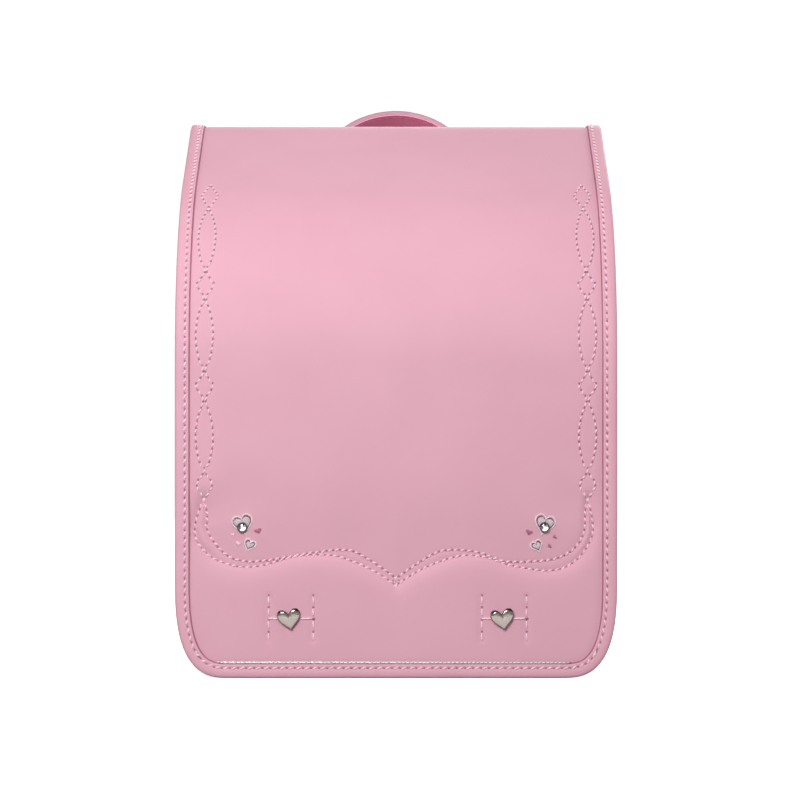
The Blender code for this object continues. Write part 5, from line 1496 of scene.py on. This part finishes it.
def makeLowerStrap(side, word):
    top, along, across, outward = buckleFrame()
    middleBar = top + along * strap["upperPitch"]
    flat = strap["face"] + strap["gap"] + strap["tab"] / 2
    anchorTop = strap["anchorBottom"] + strap["anchor"] + strap["gap"]
    entry = middleBar + along * (strap["lowerPitch"] + 2 * turnRadius) - outward * turnRadius
    lead = entry + along * strap["tabWidth"]
    way = lead - Vector((strap["footX"], flat, anchorTop))
    foot = Vector((strap["footX"], flat, anchorTop))
    knots = [(strap["footX"], flat, strap["anchorBottom"] + strap["anchor"] * 0.1), tuple(foot),
             tuple(foot + Vector((way.x * 0.05, way.y * 0.10, way.z * 0.22))),
             tuple(foot + Vector((way.x * 0.40, way.y * 0.48, way.z * 0.58))), tuple(lead),
             tuple(entry)]
    route = [Vector(p) for p in smoothRoute(knots, 3.5 * mm)]
    loop = turnRound(middleBar, along, outward, math.pi, 2 * math.pi)
    loop.append(middleBar + along * (strap["lowerPitch"] + turnRadius) + outward * turnRadius)
    down = Vector((0, 0, -1))
    steps = 15
    for i in range(1, steps + 1):
        heading = along.lerp(down, 0.8 * i / steps).normalized()
        loop.append(loop[-1] + heading * strap["tail"] / steps)
    points = route + loop
    acrosses = [Vector((1, 0, 0))] * len(route) + [across] * len(loop)
    count = len(points)
    widths, walls = [strap["tabWidth"]] * count, [strap["tab"]] * count
    name = "lower_strap_" + word
    bm = strapMesh(points, acrosses, widths, walls, side, flatSection)
    finishPiece(name + "_leather", meshFrom(bm, name), [boxLeather], [name], 50)
    frames = strapFrames(points, acrosses)
    rows = []
    for edge in (-1, 1):
        for face in (-1, 1):
            rows.append([((side * q.x, q.y, q.z), (side * n.x, n.y, n.z)) for q, n in
                         [(m + a * edge * (strap["tabWidth"] / 2 - 2.2 * mm)
                           + d * face * strap["tab"] / 2, d * face)
                          for m, a, d in frames[2:-2]]])
    sewRows(name + "_stitches", rows, stitch(4.6, 3.6, 0.7, 0.15, 0.85), pinkThread)
    # the punched holes are flat dark discs: painted shade of open holes
    holes = [[(q, n) for q, n in [((side * (m.x + d.x * face * 1.02 * mm),
                                    m.y + d.y * face * 1.02 * mm, m.z + d.z * face * 1.02 * mm),
                                    (side * d.x * face, d.y * face, d.z * face))
                                   for m, a, d in frames[-14:-2]]] for face in (-1, 1)]
    sewRows(name + "_holes", holes, stitch(13, 3.2, 3.2, height=0.35), paintedHoleShade)


def makeDomeRivet(name, centre, faceY):
    x, z = centre
    backFace = strap["face"] - 3 * mm
    seat = faceY + strap["gap"]
    levels = [(0.12, 1.28), (0.35, 1.22), (0.62, 1.02), (0.86, 0.68), (0.97, 0.38), (1.0, 0.12),
              (0.98, 0.0)]
    stem = [(3.5 * mm * share, seat + height * mm) for share, height in levels]
    stem += [(1.5 * mm, seat), (1.5 * mm, backFace - 0.3 * mm), (3.4 * mm, backFace - 0.3 * mm),
             (3.5 * mm, backFace - 0.6 * mm), (3.3 * mm, backFace - 1.1 * mm)]
    rings = [circle(x, y, z, radius, 32) for radius, y in stem]
    finishPiece(name + "_dome", meshFrom(loft(rings), name), [nickel], [name], 40)


def makeFixings():
    sheet = strap["face"] + strap["tab"] + 2 * strap["gap"]
    half = strap["coverWidth"] / 2
    bottom = strap["coverTop"] - strap["coverHeight"]
    outline = roundedOutline(-half, half, bottom, strap["coverTop"], 9 * mm, 3 * mm)
    face = sheet + strap["coverWall"]
    makePanel("strap_cover_leather", outline, sheet, face, boxLeather,
              ["strap_cover"], 0.45 * mm)
    inset = 3 * mm
    seam = roundedOutline(-half + inset, half - inset, bottom + inset, strap["coverTop"] - inset,
                          6 * mm, 1.5 * mm)
    rows = [[((x, face, z), (0, 1, 0)) for x, z in seam + seam[:1]]]
    rivetZ = strap["coverTop"] - strap["coverHeight"] * 0.55
    number = 0
    for side, word in ((-1, "left"), (1, "right")):
        for share in (-0.25, 0.25):
            number += 1
            makeDomeRivet("strap_rivet_%d" % number,
                          (side * (strap["topX"] + strap["width"] * share), rivetZ), face)
        left, size = strap["footX"] - strap["anchor"] / 2, strap["anchor"]
        outline = [(side * x, z) for x,
                   z in roundedOutline(left, left + size, strap["anchorBottom"],
                                                            strap["anchorBottom"] + size, 8 * mm,
                                                            3 * mm)]
        makePanel("strap_anchor_leather_" + word, outline, sheet, face, boxLeather,
                  ["strap_anchor_" + word], 0.45 * mm)
        seam = roundedOutline(left + inset, left + size - inset, strap["anchorBottom"] + inset,
                              strap["anchorBottom"] + size - inset, 5.5 * mm, 1.5 * mm)
        rows.append([((side * x, face, z), (0, 1, 0)) for x, z in seam + seam[:1]])
        makeDomeRivet("anchor_rivet_" + word,
                      (side * strap["footX"], strap["anchorBottom"] + size / 2), face)
    sewRows("fixing_stitches", rows, stitch(4.4, 3.4, 0.75, 0.15, 0.9), pinkThread)


for side, word in ((-1, "left"), (1, "right")):
    makeShoulderStrap(side, word)
    makeLowerStrap(side, word)
    softenNode("buckle_" + word, nickel, 0.45 * mm, 3)
makeFixings()
print("straps made")


# back pads, blown up as cloth and then sewn through
pads = {"height": 12 * mm, "edge": 6 * mm, "channel": 9 * mm, "split": 78 * mm, "bottom": 32 * mm,
        "width": 222 * mm, "lumbar": 160 * mm, "radius": 16 * mm, "shoulder": 13 * mm,
        "top": 224 * mm, "voxel": 4 * mm, "pressure": 4.0, "cap": 2.5 * mm, "shrink": 1.2 * mm,
        "groove": 2.4 * mm, "grooveWidth": 2.6 * mm, "seamInset": 9 * mm, "seamRadius": 8 * mm,
        "frames": 20, "stiffness": 15, "bending": 0.6}


def cushionMesh(left, right, bottom, top):
    shrink = pads["shrink"]
    left, right, bottom, top = left + shrink, right - shrink, bottom + shrink, top - shrink
    contour = ((0, 0), (0.08, 0.4), (0.2, 0.68), (0.46, 0.9), (0.75, 0.98), (1, 1))
    rise = pads["height"] - shrink - pads["edge"]
    levels = [(0.0, 0.0), (0.0, pads["edge"] * 0.5)]
    levels += [(pads["shoulder"] * a, pads["edge"] + rise * b) for a, b in contour]
    face = strap["face"] + strap["gap"]
    rings = []
    for inset, height in levels:
        radius = pads["radius"] - inset
        rings.append([(x, face + height, z) for x, z in
                      roundedOutline(left + inset, right - inset, bottom + inset, top - inset,
                                     radius, radius)])
    return meshFrom(loft(rings), "cushion")


def makePad(name, left, right, bottom, top, columns):
    obj = addObject(name + "_soft", cushionMesh(left, right, bottom, top))
    remesh = obj.modifiers.new("even", "REMESH")
    remesh.mode = "VOXEL"
    remesh.voxel_size = pads["voxel"]
    mesh = evaluatedMesh(obj)
    obj.modifiers.clear()
    obj.data = mesh
    start = coordinatesOf(mesh)
    cloth = obj.modifiers.new("cloth", "CLOTH")
    cloth.settings.use_pressure = True
    cloth.settings.uniform_pressure_force = pads["pressure"]
    cloth.settings.effector_weights.gravity = 0
    cloth.settings.tension_stiffness = pads["stiffness"]
    cloth.settings.compression_stiffness = pads["stiffness"]
    cloth.settings.bending_stiffness = pads["bending"]
    cloth.point_cache.frame_start, cloth.point_cache.frame_end = 1, pads["frames"]
    for number in range(1, pads["frames"] + 1):
        bpy.context.scene.frame_set(number)
    step = coordinatesOf(evaluatedMesh(obj)) - start
    obj.modifiers.clear()
    size = np.linalg.norm(step, axis=1, keepdims=True)
    start = start + step * np.minimum(1.0, pads["cap"] / np.maximum(size, 1e-9))
    bpy.context.scene.frame_set(1)
    face = strap["face"] + strap["gap"]
    start[:, 1] = np.maximum(start[:, 1], face)
    start[:, 1] = np.minimum(start[:, 1], face + pads["height"])
    obj.data.vertices.foreach_set("co", start.ravel())
    finer = obj.modifiers.new("finer", "SUBSURF")
    finer.levels = finer.render_levels = 2
    mesh = evaluatedMesh(obj)
    obj.modifiers.clear()
    place = coordinatesOf(mesh)
    # channels: a seam line all round, and bars across
    inset, seamRadius = pads["seamInset"], pads["seamRadius"]
    cx, cz = (left + right) / 2, (bottom + top) / 2
    hw, hh = (right - left) / 2 - inset, (top - bottom) / 2 - inset
    qx, qz = np.abs(place[:, 0] - cx) - hw + seamRadius, np.abs(place[:, 2] - cz) - hh + seamRadius
    corner = np.hypot(np.maximum(qx, 0), np.maximum(qz, 0))
    gap = np.abs(corner + np.minimum(np.maximum(qx, qz), 0) - seamRadius)
    bars = []
    for z in columns:
        inside = np.abs(place[:, 0] - cx) < hw
        gap = np.where(inside, np.minimum(gap, np.abs(place[:, 2] - z)), gap)
        bars.append([(cx - hw + 2 * mm, z), (cx, z), (cx + hw - 2 * mm, z)])
    front = place[:, 1] > face + pads["edge"] * 0.7
    place[:, 1] -= np.where(front, pads["groove"] * bell(gap, pads["grooveWidth"]), 0.0)
    mesh.vertices.foreach_set("co", place.ravel())
    obj.data = mesh
    mesh.materials.clear()
    mesh.materials.append(padLeather)
    mesh.shade_smooth()
    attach(obj, "root")
    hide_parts(name)
    # threads lie in the channels, on the pad's own face
    bm = bmesh.new()
    bm.from_mesh(mesh)
    tree = BVHTree.FromBMesh(bm)
    bm.free()
    rows = []
    ringLine = roundedOutline(cx - hw, cx + hw, cz - hh, cz + hh, seamRadius, seamRadius)
    for line in [ringLine + ringLine[:1]] + bars:
        row = []
        for a, b in zip(line, line[1:] + line[-1:]):
            steps = max(1, round(math.dist(a, b) / (3 * mm)))
            for i in range(steps):
                x, z = a[0] + (b[0] - a[0]) * i / steps, a[1] + (b[1] - a[1]) * i / steps
                hit = tree.ray_cast(Vector((x, face + 0.05, z)), Vector((0, -1, 0)))[0]
                if hit:
                    row.append((hit, (0, 1, 0)))
        rows.append(row)
    sewRows(name + "_stitches", rows, stitch(5.2, 4.0, 0.8, 0.12, 1.0), pinkThread)


low, high = pads["split"] + pads["channel"] / 2, pads["top"]
for side, word in ((-1, "left"), (1, "right")):
    left, right = sorted((side * pads["channel"] / 2, side * pads["width"] / 2))
    makePad("back_pad_" + word, left, right, low, high,
            [low + (high - low) * k / 3 for k in (1, 2)])
makePad("back_pad_lower", -pads["lumbar"] / 2, pads["lumbar"] / 2, pads["bottom"],
        pads["split"] - pads["channel"] / 2, [])
print("pads made")


# floor, light and camera
studio = {"distance": 1.8, "height": 0.1725, "lens": 36 * 1.8 / 0.4826,
          "key": 9.0, "high": 0.6, "side": 5.0, "rear": 24.0,
          "sky": [(-1.0, 0.05), (-0.1, 0.09), (0.02, 0.44), (0.2, 0.56), (0.45, 0.62), (0.62, 0.26),
                  (0.8, 0.11), (1.0, 0.42)]}


def makeStage():
    floor = bpy.data.materials.new("paleFloor")
    floor.use_nodes = True
    shader = floor.node_tree.nodes["Principled BSDF"]
    setInputs(shader, Base_Color=(0.9, 0.9, 0.9, 1), Roughness=0.9, Emission_Color=(1, 1, 1, 1),
              Emission_Strength=0.78)
    shader.inputs["Specular IOR Level"].default_value = 0.1
    bm = bmesh.new()
    width, back = 9.0, 3.0
    profile = [(-9.0, 0.0), (back - 0.8, 0.0)]
    profile += [(back - 0.8 + 0.8 * math.sin(a), 0.8 - 0.8 * math.cos(a))
                for a in [math.pi / 2 * k / 12 for k in range(1, 13)]]
    profile.append((back, 3.0))
    rows = [[bm.verts.new((x, y, z)) for y, z in profile] for x in (-width, width)]
    for i in range(len(profile) - 1):
        bm.faces.new((rows[0][i], rows[1][i], rows[1][i + 1], rows[0][i + 1]))
    mesh = meshOf(bm, "studio_floor")
    mesh.materials.append(floor)
    mesh.shade_smooth()
    obj = addObject("studio_floor", mesh)
    obj.visible_diffuse = False  # the sky's lower part stands in for its bounce


def addLight(name, place, target, size, watts):
    light = bpy.data.lights.new(name, "AREA")
    light.shape = "RECTANGLE"
    light.size, light.size_y = size
    light.energy = watts
    obj = addObject(name, light)
    obj.location = place
    obj.rotation_euler = (Vector(target) - Vector(place)).to_track_quat("-Z", "Y").to_euler()


def makeSky():
    # soft room light by height: paler at eye level, dim overhead and below
    world = bpy.data.worlds.new("studioSky")
    bpy.context.scene.world = world
    world.use_nodes = True
    tree = world.node_tree
    place = newNode(tree, "ShaderNodeTexCoord")
    split = newNode(tree, "ShaderNodeSeparateXYZ")
    tree.links.new(place.outputs["Generated"], split.inputs[0])
    span = newNode(tree, "ShaderNodeMapRange")
    setInputs(span, From_Min=-1.0, From_Max=1.0)
    tree.links.new(split.outputs["Z"], span.inputs["Value"])
    ramp = newNode(tree, "ShaderNodeValToRGB")
    stops = studio["sky"]
    while len(ramp.color_ramp.elements) < len(stops):
        ramp.color_ramp.elements.new(0.5)
    for element, (height, value) in zip(ramp.color_ramp.elements, stops):
        element.position = (height + 1) / 2
        element.color = (value, value * 0.99, value * 0.98, 1)
    tree.links.new(span.outputs["Result"], ramp.inputs["Fac"])
    seen = newNode(tree, "ShaderNodeLightPath")
    show = newNode(tree, "ShaderNodeMix", data_type="RGBA")
    show.inputs["B"].default_value = (0.98, 0.98, 0.98, 1)
    tree.links.new(seen.outputs["Is Camera Ray"], show.inputs["Factor"])
    tree.links.new(ramp.outputs["Color"], show.inputs["A"])
    tree.links.new(show.outputs["Result"], tree.nodes["Background"].inputs["Color"])


def makeLights():
    makeSky()
    addLight("key_softbox", (-0.25, -1.12, 0.55), (0, -0.1, 0.19), (0.34, 0.34), studio["key"])
    addLight("high_softbox", (-0.10, -0.24, 0.82), (0, -0.06, 0.25), (0.30, 0.30), studio["high"])
    addLight("side_softbox", (1.6, 0.25, 0.8), (0, 0, 0.18), (1.0, 0.8), studio["side"])
    addLight("rear_softbox", (0.5, 1.5, 1.1), (0, 0, 0.2), (1.4, 1.0), studio["rear"])


def makeCamera():
    camera = bpy.data.cameras.new("photo_camera")
    camera.sensor_width = 36
    camera.lens = studio["lens"]
    camera.clip_end = 20
    obj = addObject("photo_camera", camera)
    obj.location = (0, frontY - studio["distance"], studio["height"])
    obj.rotation_euler = (math.pi / 2, 0, 0)
    bpy.context.scene.camera = obj


makeStage()
makeLights()
makeCamera()
bpy.context.scene.view_settings.view_transform = "Standard"
print("studio made")
